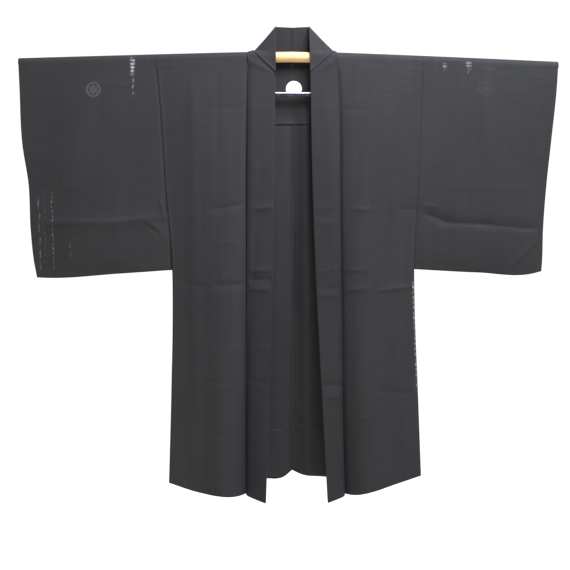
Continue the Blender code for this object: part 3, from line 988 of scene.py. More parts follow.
def mix_colours(nodes: Nodes, share: object, first: object, second: object) -> object:
    """Mixes two colours, each a socket or three numbers, and returns the result."""
    node = nodes.add("ShaderNodeMix", data_type="RGBA")
    nodes.link(share, node.inputs["Factor"])
    for socket, value in ((node.inputs[6], first), (node.inputs[7], second)):
        if isinstance(value, tuple):
            socket.default_value = (*value, 1.0)
        else:
            nodes.link(value, socket)
    return node.outputs[2]


def new_material(name: str) -> tuple[bpy.types.Material, Nodes, bpy.types.Node]:
    """Makes a material and hands out its tree and its Principled shader."""
    material = bpy.data.materials.new(name)
    material.use_nodes = True
    return material, Nodes(material.node_tree), material.node_tree.nodes["Principled BSDF"]


@dataclass(frozen=True)
class WoodFinish:
    """Pale smooth wood with its grain along X."""

    name: str = "pale_wood"
    early: tuple[float, float, float] = (0.53, 0.36, 0.122)
    late: tuple[float, float, float] = (0.38, 0.22, 0.060)

    def build(self) -> bpy.types.Material:
        """Builds the material."""
        material, nodes, shader = new_material(self.name)
        place = nodes.add("ShaderNodeTexCoord").outputs["Object"]
        bend = nodes.noise(nodes.stretch(place, (2.0, 30.0, 30.0)), 1.0, 2.0)
        rings = nodes.noise(nodes.stretch(place, (5.0, 230.0, 230.0)), 1.0, 4.0)
        grain = nodes.plus(nodes.times(rings, 0.75), nodes.times(bend, 0.25))
        pores = nodes.remap(nodes.noise(nodes.stretch(place, (60.0, 1500.0, 1500.0)), 1.0, 2.0), 0.62, 0.75)
        colour = mix_colours(nodes, nodes.remap(grain, 0.42, 0.66), self.early, self.late)
        colour = mix_colours(nodes, nodes.times(pores, 0.35), colour, self.late)
        nodes.link(colour, shader.inputs["Base Color"])
        nodes.link(nodes.remap(grain, 0.3, 0.7, 0.34, 0.5), shader.inputs["Roughness"])
        nodes.bump(shader, nodes.minus(grain, pores), strength=0.25, distance=0.0002)
        shader.inputs["Coat Weight"].default_value = 0.15
        return material


@dataclass(frozen=True)
class MetalFinish:
    """Dark satin metal with fine drawn lines and lighter worn spots; a light copy paints the bars' highlight.
    """

    name: str = "dark_metal"
    body: tuple[float, float, float] = (0.020, 0.020, 0.023)
    wear_and_highlight: tuple[float, float, float] = (0.17, 0.17, 0.18)

    def build(self) -> bpy.types.Material:
        """Builds the material."""
        material, nodes, shader = new_material(self.name)
        place = nodes.add("ShaderNodeTexCoord").outputs["Object"]
        lines = nodes.noise(nodes.stretch(place, (8.0, 900.0, 900.0)), 1.0, 3.0)
        spots = nodes.noise(place, 45.0, 4.0)
        worn = nodes.times(nodes.remap(nodes.times(lines, spots), 0.24, 0.42), 0.35)
        nodes.link(mix_colours(nodes, worn, self.body, self.wear_and_highlight), shader.inputs["Base Color"])
        nodes.link(nodes.remap(lines, 0.3, 0.7, 0.3, 0.46), shader.inputs["Roughness"])
        nodes.bump(shader, lines, strength=0.15, distance=0.0001)
        shader.inputs["Metallic"].default_value = 0.85
        return material


# --------------------------------------------------------------------------------------------------
# Cloth pieces
# --------------------------------------------------------------------------------------------------


@dataclass
class ClothCut:
    """Sizes that every cloth piece shares."""

    step: float = 0.0036
    wall: float = 0.0006
    arc_steps: int = 24
    armhole_drop: float = 0.420
    wrist_drop: float = 0.250
    neck_arc: float = 160.0
    neck_edge: float = 142.0
    roll: float = 0.0012
    roll_reach: float = 0.0030
    roll_spread: float = 1.15
    collar_roll: float = 2.6
    centre_roll: float = 0.35
    welt_place: float = 0.005
    welt_reach: float = 0.0028
    tuck: float = 0.005
    collar_tuck_depth: float = 0.0036
    side_tuck: float = 0.004
    side_tuck_depth: float = 0.0026
    side_roll_in: float = 0.0012
    arc_tuck_depth: float = 0.0009
    arc_tuck_degrees: float = 110.0
    crowding: float = 1.3
    turn_up_drop: float = 0.878
    yoke_drop: float = 0.160

    def steps(self, length: float) -> int:
        """How many cells a length is cut into."""
        return max(2, int(round(length / self.step)))


def crowded(count: int, power: float = 1.0) -> Array:
    """Shares from 0 to 1, crowded towards both ends if power is over 1."""
    t = np.linspace(0.0, 1.0, count + 1)
    return 0.5 + 0.5 * np.sign(t - 0.5) * (1 - (1 - np.abs(2 * t - 1)) ** power)


@dataclass
class BodyPanel:
    """One body length: front hem, up, over the rod and down to the back hem, with the neck cut away."""

    half: Half
    cut: ClothCut = field(default_factory=ClothCut)

    def seam_roll(self, distance: Array, welt: float = 0.0, deeper: float = 1.0) -> Array:
        """How far the cloth dips at a seam and swells beside it, by the distance from the seam."""
        cut = self.cut
        swell = welt * np.exp(-(((distance - cut.welt_place) / cut.welt_reach) ** 2))
        reach = cut.roll_reach * max(1.0, math.sqrt(deeper) * cut.roll_spread)
        return swell - deeper * cut.roll * np.exp(-((distance / reach) ** 2))

    def front_rows(self, outer: Array, inner_columns: int, falls: Array) -> Array:
        """Rows of the front from its hem up, with the seams' allowances turned in."""
        half, cut = self.half, self.cut
        width = half.top_side_x - half.neck_x
        rows = np.zeros((len(falls), inner_columns + len(outer) + 1, 3))
        rolls = self.seam_roll((1 - outer) * width, half.welt)
        rolls = rolls + self.seam_roll(outer * width, deeper=cut.collar_roll)
        for row, fall in enumerate(falls[::-1]):
            x, depth, drop = half.front(outer, np.full_like(outer, fall))
            height = (FRONT_CREASES.relief(half.sign * x, drop) + rolls) * freed(drop)
            rows[row, inner_columns:-1] = half.place(x, -depth - height, drop)
            seam = rows[row, inner_columns]
            rows[row, inner_columns - 1] = self.tucked(seam, -cut.tuck, cut.collar_tuck_depth)
            rows[row, -1] = self.side_allowance(rows[row, -2])
        return rows

    def rod_rows(self, outer: Array, inner: Array) -> Array:
        """Rows over the rod, from the front to the back."""
        half, cut = self.half, self.cut
        seam = len(inner)
        rows = []
        for degree in np.linspace(0.0, 180.0, cut.arc_steps + 1):
            x_outer = mix(half.neck_line_x(np.full_like(outer, degree)), half.top_side_x, outer)
            x_inner = mix(half.seam_half, half.neck_x, inner)
            x = np.concatenate([x_inner, x_outer, [half.top_side_x + cut.side_tuck]])
            radius = np.full_like(x, half.wrap_radius)
            radius[-1] -= cut.arc_tuck_depth
            if degree < cut.arc_tuck_degrees:
                x[seam - 1] = x[seam] - cut.side_tuck
                radius[seam - 1] -= cut.arc_tuck_depth
            rows.append(half.over_rod(x, np.full_like(x, degree), radius))
        return np.stack(rows)

    def back_rows(self, shares: Array, falls: Array) -> Array:
        """Rows of the back down to its hem, with the side's allowance."""
        half, cut = self.half, self.cut
        rows = np.zeros((len(falls), len(shares) + 1, 3))
        side_roll = self.seam_roll((1 - shares) * half.top_side_x)
        centre_roll = self.seam_roll(shares * half.top_side_x, deeper=cut.centre_roll)
        for row, fall in enumerate(falls):
            x, depth, drop = half.back(shares, np.full_like(shares, fall))
            rolls = side_roll + centre_roll * ramp(drop, 0.01, 0.04)
            height = (BACK_CREASES.relief(half.sign * x, drop) + rolls) * freed(drop)
            rows[row, :-1] = half.place(x, depth + height, drop)
            rows[row, -1] = self.side_allowance(rows[row, -2])
        return rows

    def sheet(self) -> tuple[Sheet, Array]:
        """Builds the grid.

        Returns:
            The sheet and a rough outward direction at each point.
        """
        half, cut = self.half, self.cut
        outer = crowded(cut.steps(half.top_side_x - half.neck_x), cut.crowding)
        inner = np.linspace(0.0, 1.0, cut.steps(half.neck_x) + 1)[:-1]
        share = half.neck_x / half.top_side_x
        falls = np.linspace(0.0, 1.0, cut.steps(half.front_hem[0].drop) + 1)[1:]
        points = np.concatenate([
            self.front_rows(outer, len(inner), falls),
            self.rod_rows(outer, inner),
            self.back_rows(np.concatenate([inner * share, mix(share, 1.0, outer)]), falls),
        ])
        keep = np.ones((len(points) - 1, points.shape[1] - 1), bool)
        neck_row = len(falls) + int(round(cut.neck_edge / 180.0 * cut.arc_steps))
        keep[:neck_row, : len(inner) - 1] = False
        along = lengths_from_top(points[:, len(inner) + 5])
        cloth = np.stack(np.broadcast_arrays(np.abs(points[..., 0]), along[:, None]), axis=-1)
        return Sheet(points, cloth, keep), over_and_down(points, len(falls))

    def tucked(self, edge: Array, across: float, deeper: float) -> Array:
        """The edge of a seam's turned-in allowance, from the seam's own point."""
        moved = edge.copy()
        moved[0] += self.half.sign * across
        moved[1] -= math.copysign(deeper, edge[1])
        return moved

    def side_allowance(self, edge: Array) -> Array:
        """The allowance at the side: under the sleeve down to the armhole, and rolled in below it."""
        cut = self.cut
        below = float(ramp(np.asarray(-edge[2]), cut.armhole_drop - 0.025, cut.armhole_drop))
        return self.tucked(edge, mix(cut.side_tuck, -cut.side_roll_in, below), cut.side_tuck_depth)

    def dress(self, material: bpy.types.Material) -> bpy.types.Object:
        """Makes the piece."""
        sheet, outward = self.sheet()
        name = f"body_{self.half.name}"
        return ClothPiece(f"cloth_{name}", self.cut.wall, "gauze", [name]).make(sheet, outward, material)


@dataclass
class TurnUp:
    """The deep turn-up of the hem, a second layer on the inner side of a front or back panel."""

    half: Half
    facing: Facing
    cut: ClothCut = field(default_factory=ClothCut)
    inset: float = 0.0012
    top_fold: float = 0.0004
    fold_reach: float = 0.010

    def dress(self, material: bpy.types.Material) -> bpy.types.Object:
        """Makes the piece from the panel's own points, moved in."""
        half, cut = self.half, self.cut
        front = self.facing is Facing.FRONT
        shares = np.linspace(0.045 if front else 0.004, 0.996, cut.steps(half.top_side_x * 0.8))
        hem = (half.front_hem if front else half.back_hem)[0].drop
        falls = np.linspace(cut.turn_up_drop / hem, 0.9975, cut.steps(hem - cut.turn_up_drop))
        surface, creases = (half.front, FRONT_CREASES) if front else (half.back, BACK_CREASES)
        points = np.zeros((len(falls), len(shares), 3))
        for row, fall in enumerate(falls):
            x, depth, drop = surface(shares, np.full_like(shares, fall))
            fold = self.top_fold * ramp(cut.turn_up_drop + self.fold_reach - drop, 0.0, self.fold_reach)
            level = depth + creases.relief(half.sign * x, drop) - self.inset - fold
            points[row] = half.place(x, self.facing.value * level, drop)
        cloth = np.stack([np.abs(points[..., 0]), 2.2 + points[..., 2]], axis=-1)
        outward = one_way(points, 1, -self.facing.value)
        name = f"turn_up_{self.facing.name.lower()}_{half.name}"
        return ClothPiece(name, cut.wall, "gauze").make(Sheet(points, cloth), outward, material)


@dataclass
class CentreAllowance:
    """The centre back seam's allowance, pressed to the wearer's left on the inner side."""

    half: Half
    cut: ClothCut = field(default_factory=ClothCut)
    width: float = 0.0115
    inset: float = 0.0014
    bottom: float = 0.9935

    def dress(self, material: bpy.types.Material) -> bpy.types.Object:
        """Makes the piece from the back panel's own points, moved in."""
        half = self.half
        shares = np.linspace(-0.0025, self.width, 7) / half.top_side_x
        hem = half.back_hem[0].drop
        falls = np.linspace((self.cut.yoke_drop + 0.0006) / hem, self.bottom, self.cut.steps(hem))
        points = np.zeros((len(falls), len(shares), 3))
        for row, fall in enumerate(falls):
            x, depth, drop = half.back(shares, np.full_like(shares, fall))
            height = BACK_CREASES.relief(half.sign * x, drop) * freed(drop)
            waver = 0.0010 * np.sin(drop * 19.0) * (shares > 0.5 * self.width)
            edge = 0.0006 * (shares * half.top_side_x > self.width * 0.8)
            points[row] = half.place(x + waver, depth + height - self.inset - edge, drop)
        cloth = np.stack([np.abs(points[..., 0]) + 9.0, -points[..., 2]], axis=-1)
        piece = ClothPiece("centre_allowance", self.cut.wall, "gauze")
        return piece.make(Sheet(points, cloth), one_way(points, 1, -1), material)


@dataclass
class Sleeve:
    """A length folded over the rod, closed along the bottom, below the wrist and below the armhole."""

    half: Half
    cut: ClothCut = field(default_factory=ClothCut)
    length: float = 0.52
    thinnest: float = 0.0016

    def sheet(self) -> tuple[Sheet, Array, list]:
        """Builds the grid.

        Returns:
            The sheet, a rough outward direction and the quads of the sewn ends.
        """
        half, cut = self.half, self.cut
        width = half.sleeve[0].wrist_x - half.top_side_x
        across = crowded(cut.steps(width), cut.crowding)
        falls = crowded(cut.steps(self.length), 1.0)[1:]
        dip = cut.roll * np.exp(-((across * width / cut.roll_reach) ** 2))
        hem = hem_drop(half.sleeve_hem, across)
        faces = {}
        for facing, creases in ((Facing.FRONT, FRONT_CREASES), (Facing.BACK, BACK_CREASES)):
            rows = np.zeros((len(falls), len(across), 3))
            for row, fall in enumerate(falls):
                x, depth, drop = half.sleeve_sheet(across, np.full_like(across, fall), cut.armhole_drop)
                height = creases.relief(half.sign * x, drop) - dip
                calm = freed(drop) * ramp(hem - drop, 0.0, 0.03) * ramp((1 - across) * width, 0.0, 0.02)
                level = np.maximum(depth + height * calm - dip * (1 - calm) * 0.5, self.thinnest)
                rows[row] = half.place(x, facing.value * level, drop)
            faces[facing] = rows
        top_x = half.sleeve_x(across, np.zeros_like(across))
        turns = (np.full_like(top_x, degree) for degree in np.linspace(0.0, 180.0, cut.arc_steps + 1))
        arc = np.stack([half.over_rod(top_x, turn, half.wrap_radius) for turn in turns])
        points = np.concatenate([faces[Facing.FRONT][::-1], arc, faces[Facing.BACK]])
        along = lengths_from_top(points[:, 6])
        cloth = np.stack(np.broadcast_arrays(np.abs(points[..., 0]), along[:, None]), axis=-1)
        return Sheet(points, cloth), over_and_down(points, len(falls)), self.sewn_ends(points, len(falls))

    def sewn_ends(self, points: Array, fall_rows: int) -> list:
        """Quads that close the bottom, the wrist below its opening and the side below the armhole."""
        rows, columns = points.shape[:2]
        last = rows - 1
        quads = [(last * columns + i, last * columns + i + 1, i + 1, i) for i in range(columns - 1)]
        end = columns - 1
        for j in range(fall_rows - 1):
            below, above = j * columns, (j + 1) * columns
            back_below, back_above = (last - j) * columns, (last - j - 1) * columns
            if -points[j + 1, end, 2] >= self.cut.wrist_drop:
                quads.append((below + end, back_below + end, back_above + end, above + end))
            if -points[j + 1, 0, 2] >= self.cut.armhole_drop:
                quads.append((below, above, back_above, back_below))
        return quads

    def dress(self, material: bpy.types.Material) -> bpy.types.Object:
        """Makes the piece."""
        sheet, outward, ends = self.sheet()
        name = f"sleeve_{self.half.name}"
        piece = ClothPiece(f"cloth_{name}", self.cut.wall, "gauze", [name])
        return piece.make(sheet, outward, material, ends)


@dataclass
class Gusset:
    """The narrow wedge between front and back down the side, a little folded in."""

    half: Half
    cut: ClothCut = field(default_factory=ClothCut)
    top_drop: float = 0.524
    clear: float = 0.0008
    folds: tuple[float, float] = (0.001, 0.009)

    def dress(self, material: bpy.types.Material) -> bpy.types.Object:
        """Makes the piece."""
        half = self.half
        bottom = hem_drop(half.front_hem, [1.0])[0] - 0.001
        drops = np.linspace(self.top_drop, bottom, self.cut.steps(bottom - self.top_drop))
        shares = np.linspace(0.0, 1.0, 17)
        share_drop = (drops - self.top_drop) / (bottom - self.top_drop)
        reach = column(half.fronts, "side", drops) - self.clear
        edge = column(half.fronts, "side_x", drops) - 0.0003
        fold = mix(*self.folds, share_drop)
        points = np.zeros((len(drops), len(shares), 3))
        for i, share in enumerate(shares):
            crinkle = 0.0006 * np.sin(drops * 71.0 + 4.0 * share) * math.sin(math.pi * share)
            points[:, i, 0] = half.sign * (edge - fold * math.sin(math.pi * share) + crinkle)
            points[:, i, 1] = mix(-reach, reach, share)
            points[:, i, 2] = -drops
        cloth = np.stack([points[..., 1] + 3.0, -points[..., 2]], axis=-1)
        name = f"gusset_{half.name}"
        piece = ClothPiece(f"cloth_{name}", self.cut.wall, "gauze", [name])
        return piece.make(Sheet(points, cloth), one_way(points, 0, half.sign), material)


@dataclass
class BackYoke:
    """The shoulder lining, lying on the back's inner side."""

    cut: ClothCut = field(default_factory=ClothCut)
    reach: float = 0.250
    top_fall: float = 0.020
    inset: float = 0.0013
    dip: float = 0.0011
    dip_reach: float = 0.0035
    hem_fold: float = 0.0007

    def dress(self, material: bpy.types.Material) -> bpy.types.Object:
        """Makes the piece from the back panels' own points, moved in."""
        rows = []
        for drop_share in np.linspace(0.0, 1.0, self.cut.steps(self.cut.yoke_drop)):
            row = []
            for half in (RIGHT, LEFT):
                shares = np.linspace(0.0, self.reach / half.top_side_x, 50)
                hem = hem_drop(half.back_hem, shares)
                fall = mix(self.top_fall, self.cut.yoke_drop / hem, drop_share)
                x, depth, drop = half.back(shares, fall)
                dip = np.exp(-((shares * half.top_side_x / self.dip_reach) ** 2)) * self.dip
                height = BACK_CREASES.relief(half.sign * x, drop) * freed(drop) - dip
                edge = self.hem_fold * ramp(np.asarray(drop_share), 0.95, 0.99)
                half_row = half.place(x, depth + height - self.inset - edge, drop)
                row.append(half_row[::-1] if half.side is Side.RIGHT else half_row[1:])
            rows.append(np.concatenate(row))
        points = np.stack(rows)
        cloth = np.stack([points[..., 0] + 5.0, -points[..., 2]], axis=-1)
        piece = ClothPiece("cloth_back_yoke", self.cut.wall, "yoke_lining", ["back_yoke"])
        return piece.make(Sheet(points, cloth), one_way(points, 1, -1), material)


@dataclass(frozen=True)
class Section:
    """A straight section across the collar strip, from its seam to its free edge."""

    seam: tuple[float, float, float]
    free: tuple[float, float, float]


@dataclass
class Collar:
    """The doubled collar strip, from one front hem up, round the neck and down to the other."""

    cut: ClothCut = field(default_factory=ClothCut)
    proud: float = 0.0020
    thickness: float = 0.0022
    wall: float = 0.0005
    top: float = 0.0745
    throat: float = 0.038
    flap: float = 0.0014
    columns: int = 22
    neck_step: float = 0.0013
    width: float = 0.065
    bulge: float = 0.0012
    softness: float = 0.0030
    free_edge: float = -0.0176
    back_y: float = 0.0105
    middle_sag: float = 0.0034
    fold_rise: float = 0.0026
    fold_reach: float = 0.0045
    seam_dip: float = 0.0031
    seam_dip_share: float = 0.09
    cloth_width: float = 0.067

    def front_sections(self, half: Half) -> list[Section]:
        """Sections down one front, from the hem up."""
        sections = []
        gap = 2 * half.seam_half
        for fall in np.linspace(1.0, 0.105, 40):
            seam_drop = (half.front_hem[0].drop + 0.002) * fall
            free_drop = mix(self.throat - 0.060, half.front_hem[0].drop + 0.017, fall)
            at = np.array([seam_drop, free_drop])
            seam_x = column(half.fronts, "seam_x", at)[0] - gap
            seam_y = half.valley_depth(at)[0] - column(half.fronts, "seam", at)[0] - self.proud
            free_y = -column(half.fronts, "free", at)[1]
            free_x = column(half.fronts, "free_x", at)[1]
            seam = (half.sign * seam_x, seam_y, -seam_drop)
            sections.append(Section(seam, (half.sign * free_x, free_y, -free_drop)))
        return sections

    def neck_sections(self, half: Half) -> tuple[list[Section], list[Section], list[Section]]:
        """Sections round the neck: under the turned-out part, over it, and its roll into the standing back.

        Each row of the three tables has the seam's turn round the rod in degrees, and the free edge's depth
        and height.
        """
        radius = half.wrap_radius + self.proud
        free_x = half.fronts[0].free_x
        gap = 2 * half.seam_half

        def seam(degrees: float, proud: float = 0.0) -> tuple[float, float, float]:
            """The seam edge's point over the rod."""
            x = half.neck_line_x(np.array([degrees])) - gap
            return tuple(half.over_rod(x, np.array([degrees]), radius + proud)[0])

        def free(y: float, z: float) -> tuple[float, float, float]:
            """The free edge's point beside the neck."""
            return half.sign * (free_x - half.neck_lean * max(z, 0.0) / self.top), y, z

        x, _, drop = half.front(np.array([0.0]), np.array([0.020]))
        low = (half.sign * (x[0] - gap), -radius, -drop[0] - 0.008)
        edge, over_edge, top, throat = self.free_edge, self.free_edge - self.flap, self.top, -self.throat
        under = [Section(low, free(edge, throat - 0.007))]
        under += [Section(seam(turn), free(y, z)) for turn, y, z in (
            (20, edge, throat - 0.005),
            (45, edge, throat - 0.003),
            (65, edge, throat - 0.0015),
            (81, edge, throat),
        )]
        over = [Section(seam(turn, self.flap), free(y, z)) for turn, y, z in (
            (82, over_edge, throat + 0.0006),
            (85, over_edge, -0.020),
            (87, over_edge, -0.005),
            (89, over_edge + 0.0006, 0.007),
            (91, over_edge + 0.0028, 0.020),
            (95, over_edge + 0.0091, 0.046),
            (100, -0.0012, top - 0.0035),
        )]
        turned = [Section(seam(turn), free(y, z)) for turn, y, z in (
            (107, 0.0012, top - 0.0008),
            (115, 0.0034, top),
            (125, 0.0058, top - 0.0003),
            (135, 0.0080, top - 0.0008),
        )]
        for share in (0.8, 0.55, 0.28):
            seam_x = np.array([half.neck_x * share])
            foot = half.over_rod(seam_x, np.array([self.cut.neck_arc - 3.0]), radius)[0]
            sag = 0.0010 + 0.0022 * (1 - share)
            head = (half.sign * (free_x - half.neck_lean) * share, self.back_y, top - sag)
            turned.append(Section(tuple(foot), head))
        return under, over, turned

    def fold_edge(self, half: Half, points: Array) -> Array:
        """Gives the turned-out part's lower edge a rounded fold.

        Args:
            half: the side.
            points: points of the strip's face.

        Returns:
            The moved points.
        """
        ax, az = half.neck_x, 0.0105
        bx, bz = half.fronts[0].free_x, -self.throat
        length = math.hypot(bx - ax, bz - az)
        x, z = np.abs(points[..., 0]), points[..., 2]
        above = ((x - ax) * (bz - az) - (z - az) * (bx - ax)) / length
        fold = self.fold_rise * np.exp(-np.maximum(above, 0.0) / self.fold_reach) * ramp(above, 0.0, 0.0012)
        near = ramp(z, -0.060, -0.045) * ramp(z, 0.030, 0.014) * (points[..., 1] < 0)
        moved = points.copy()
        moved[..., 1] -= fold * near
        return moved

    def clear_of_rod(self, half: Half, points: Array) -> Array:
        """Moves the front's points out round the rod, and straight down from the rod's front."""
        radius = half.wrap_radius + self.proud
        height = points[..., 2] + half.rod_drop(points[..., 0])
        needed = np.sqrt(np.maximum(radius**2 - np.maximum(height, 0.0) ** 2, 0.0))
        gap = -points[..., 1] - needed
        held = 0.5 * (np.sqrt(gap**2 + self.softness**2) - gap)
        near = (points[..., 1] <= 0) & (height < radius)
        off_seam = ramp(half.neck_x - np.abs(points[..., 0]), -0.004, 0.010)
        exact = np.maximum(-gap, 0.0)
        moved = points.copy()
        moved[..., 1] -= np.where(near, mix(exact, held, off_seam * ramp(height, -0.045, -0.010)), 0.0)
        return moved

    def span(self, sections: Sequence[Section], step: float) -> tuple[Array, Array]:
        """Reads a run of sections closely and smoothly, as seam points and free points."""
        seam = np.array([s.seam for s in sections])
        free = np.array([s.free for s in sections])
        moves = [np.linalg.norm(np.diff(line, axis=0), axis=-1) for line in (seam, free)]
        stations = np.concatenate([[0.0], np.cumsum(np.maximum(*moves))])
        at = np.linspace(0.0, stations[-1], max(3, int(stations[-1] / step)))

        def read(line: Array) -> Array:
            """The line's point at each place that is read."""
            return np.stack([smooth(stations, line[:, axis], at) for axis in range(3)], axis=-1)

        return read(seam), read(free)

    def half_grid(self, half: Half, shares: Array) -> Array:
        """The strip's face from the hem of one side to the middle of the neck."""
        under, over, turned = self.neck_sections(half)
        middle = Section((0.0, *turned[-1].seam[1:]), (0.0, self.back_y, self.top - self.middle_sag))
        fronts = self.front_sections(half)
        runs = (
            (fronts, self.cut.step, 0),
            ([fronts[-1], *under], self.neck_step, 1),
            (over, self.neck_step, 0),
            ([over[-1], *turned, middle], self.cut.step, 1),
        )
        rows = []
        for run, step, skipped in runs:
            seam, free = self.span(run, step)
            grid = seam[:, None, :] + (free - seam)[:, None, :] * shares[None, :, None]
            rows.append(self.fold_edge(half, self.clear_of_rod(half, grid[skipped:])))
        return np.concatenate(rows)

    def face_relief(self, points: Array, shares: Array) -> Array:
        """Creases and ripples of the strip's outer face."""
        x, drop = points[..., 0], -points[..., 2]
        edge_room = ramp(shares, 0.0, 0.12) * ramp(1 - shares, 0.0, 0.06)
        creased = STRIP_CREASES.relief(x, drop) * edge_room[None, :] * ramp(drop, 0.05, 0.1)
        dip = -self.seam_dip * np.exp(-((shares / self.seam_dip_share) ** 2))
        reach = np.where(x < 0, RIGHT.valley_on_strip, LEFT.valley_on_strip)
        sunk = np.exp(-shares * self.width / reach)
        rise = (1 - shares) * (1 - sunk) - shares * sunk
        bulge = self.bulge * ramp(drop, 0.05, 0.20) * 4 * shares * (1 - shares)
        return creased + dip[None, :] * ramp(drop, -0.005, 0.03) + (RIGHT.valley_depth(drop) * rise + bulge)

    def inner_relief(self, points: Array) -> Array:
        """The soft fold down the middle of the standing collar's inner side."""
        x, z = points[..., 0], points[..., 2]
        fold = np.exp(-(((x + 0.005) / 0.0045) ** 2)) - 0.4 * np.exp(-(((x - 0.004) / 0.004) ** 2))
        return -0.0012 * fold * ramp(z, 0.0, 0.02)

    def sheet(self) -> tuple[Sheet, Array]:
        """Builds the doubled strip: outer face, fold at the free edge and inner face."""
        shares = crowded(self.columns, 1.4)
        right, left = self.half_grid(RIGHT, shares), self.half_grid(LEFT, shares)
        face = Sheet(np.concatenate([right, left[::-1][1:]]), np.zeros(1))
        normal = face.normals()
        if normal[10, 5, 1] > 0:
            normal = -normal
        face.points = face.points + normal * self.face_relief(face.points, shares)[..., None]
        radius = self.thickness / 2
        across = face.points[:, -1] - face.points[:, -2]
        across /= np.linalg.norm(across, axis=-1, keepdims=True)
        from_end = np.arange(len(face.points))
        closing = ramp(np.minimum(from_end, from_end[::-1]) * 1.0, 0.0, 1.5)
        depth = (0.25 + 0.75 * closing)[:, None, None]
        fold = []
        for turn in np.radians([30.0, 60.0, 90.0, 120.0, 150.0]):
            out = across * radius * math.sin(turn) * depth[:, 0]
            down = normal[:, -1] * radius * (1 - math.cos(turn)) * depth[:, 0]
            fold.append(face.points[:, -1] + out - down)
        sunk = self.thickness * depth[..., 0] + self.inner_relief(face.points)
        inner = (face.points - normal * sunk[..., None])[:, ::-1]
        points = np.concatenate([face.points, np.stack(fold, axis=1), inner], axis=1)
        fold_out = np.repeat(across[:, None, :], len(fold), axis=1)
        outward = np.concatenate([normal, fold_out, -normal[:, ::-1]], axis=1)
        lengths = run_lengths(face.points[:, 9])
        widths = np.concatenate([shares, np.full(len(fold), 1.02), 2.04 - shares[::-1]]) * self.cloth_width
        cloth = np.stack(np.broadcast_arrays(widths[None, :] + 7.0, lengths[:, None]), axis=-1)
        return Sheet(points, cloth), outward

    def dress(self, material: bpy.types.Material) -> bpy.types.Object:
        """Makes the piece."""
        sheet, outward = self.sheet()
        piece = ClothPiece("cloth_collar", self.wall, "collar_gauze", ["collar"])
        return piece.make(sheet, outward, material)


# --------------------------------------------------------------------------------------------------
# The rod and its bar
# --------------------------------------------------------------------------------------------------


def active() -> bpy.types.Object:
    """The object that was just added."""
    return bpy.context.view_layer.objects.active


def edit_select(obj: bpy.types.Object, kind: str, chosen: Callable[[object], bool]) -> None:
    """Selects in edit mode only the faces, edges or vertices that a test picks.

    Args:
        obj: the active mesh object, in edit mode.
        kind: FACE, EDGE or VERT.
        chosen: the test, given each element.
    """
    bpy.ops.mesh.select_mode(type=kind)
    bpy.ops.mesh.select_all(action="DESELECT")
    bpy.ops.object.mode_set(mode="OBJECT")
    elements = {"FACE": obj.data.polygons, "EDGE": obj.data.edges, "VERT": obj.data.vertices}[kind]
    for element in elements:
        element.select = chosen(element)
    bpy.ops.object.mode_set(mode="EDIT")


def settle(
    obj: bpy.types.Object, name: str, node: str, material: bpy.types.Material
) -> bpy.types.Object:
    """Applies the object's place, dresses it and lets it stand for its solid."""
    pick(obj)
    bpy.ops.object.transform_apply(location=True, rotation=True, scale=True)
    for modifier in list(obj.modifiers):
        bpy.ops.object.modifier_apply(modifier=modifier.name)
    bpy.ops.object.shade_smooth_by_angle(angle=math.radians(35))
    obj.name = name
    obj.data.name = name
    obj.data.materials.clear()
    obj.data.materials.append(material)
    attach(obj, "root")
    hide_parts(node)
    LOG.info("%s: %d faces", name, len(obj.data.polygons))
    return obj


@dataclass
class Rod:
    """The round wooden rod, bowed a little down towards its ends."""

    sides: int = 64
    rings: int = 40
    edge: float = 0.002

    def build(self, material: bpy.types.Material) -> bpy.types.Object:
        """Turns the rod, cuts it into rings and bows it."""
        low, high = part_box("rod")
        radius = (high.y - low.y) / 2
        length = high.x - low.x
        deselect()
        bpy.ops.mesh.primitive_cylinder_add(
            vertices=self.sides, radius=radius, depth=length, rotation=(0, math.pi / 2, 0)
        )
        obj = active()
        bpy.ops.object.transform_apply(location=False, rotation=True, scale=False)
        bpy.ops.object.mode_set(mode="EDIT")

        def on_end(edge: object) -> bool:
            """Whether an edge lies round one of the rod's ends."""
            return all(abs(abs(obj.data.vertices[v].co.x) - length / 2) < 1e-5 for v in edge.vertices)

        edit_select(obj, "EDGE", on_end)
        bpy.ops.mesh.bevel(offset=self.edge, segments=3, affect="EDGES")
        for i in range(1, self.rings):
            x = length * (i / self.rings - 0.5)
            bpy.ops.mesh.select_all(action="SELECT")
            bpy.ops.mesh.bisect(plane_co=(x, 0, 0), plane_no=(1, 0, 0))
        bpy.ops.object.mode_set(mode="OBJECT")
        for vertex in obj.data.vertices:
            half = RIGHT if vertex.co.x < 0 else LEFT
            vertex.co.z -= float(half.rod_drop(np.array([vertex.co.x]))[0])
        return settle(obj, "wooden_rod", "rod", material)


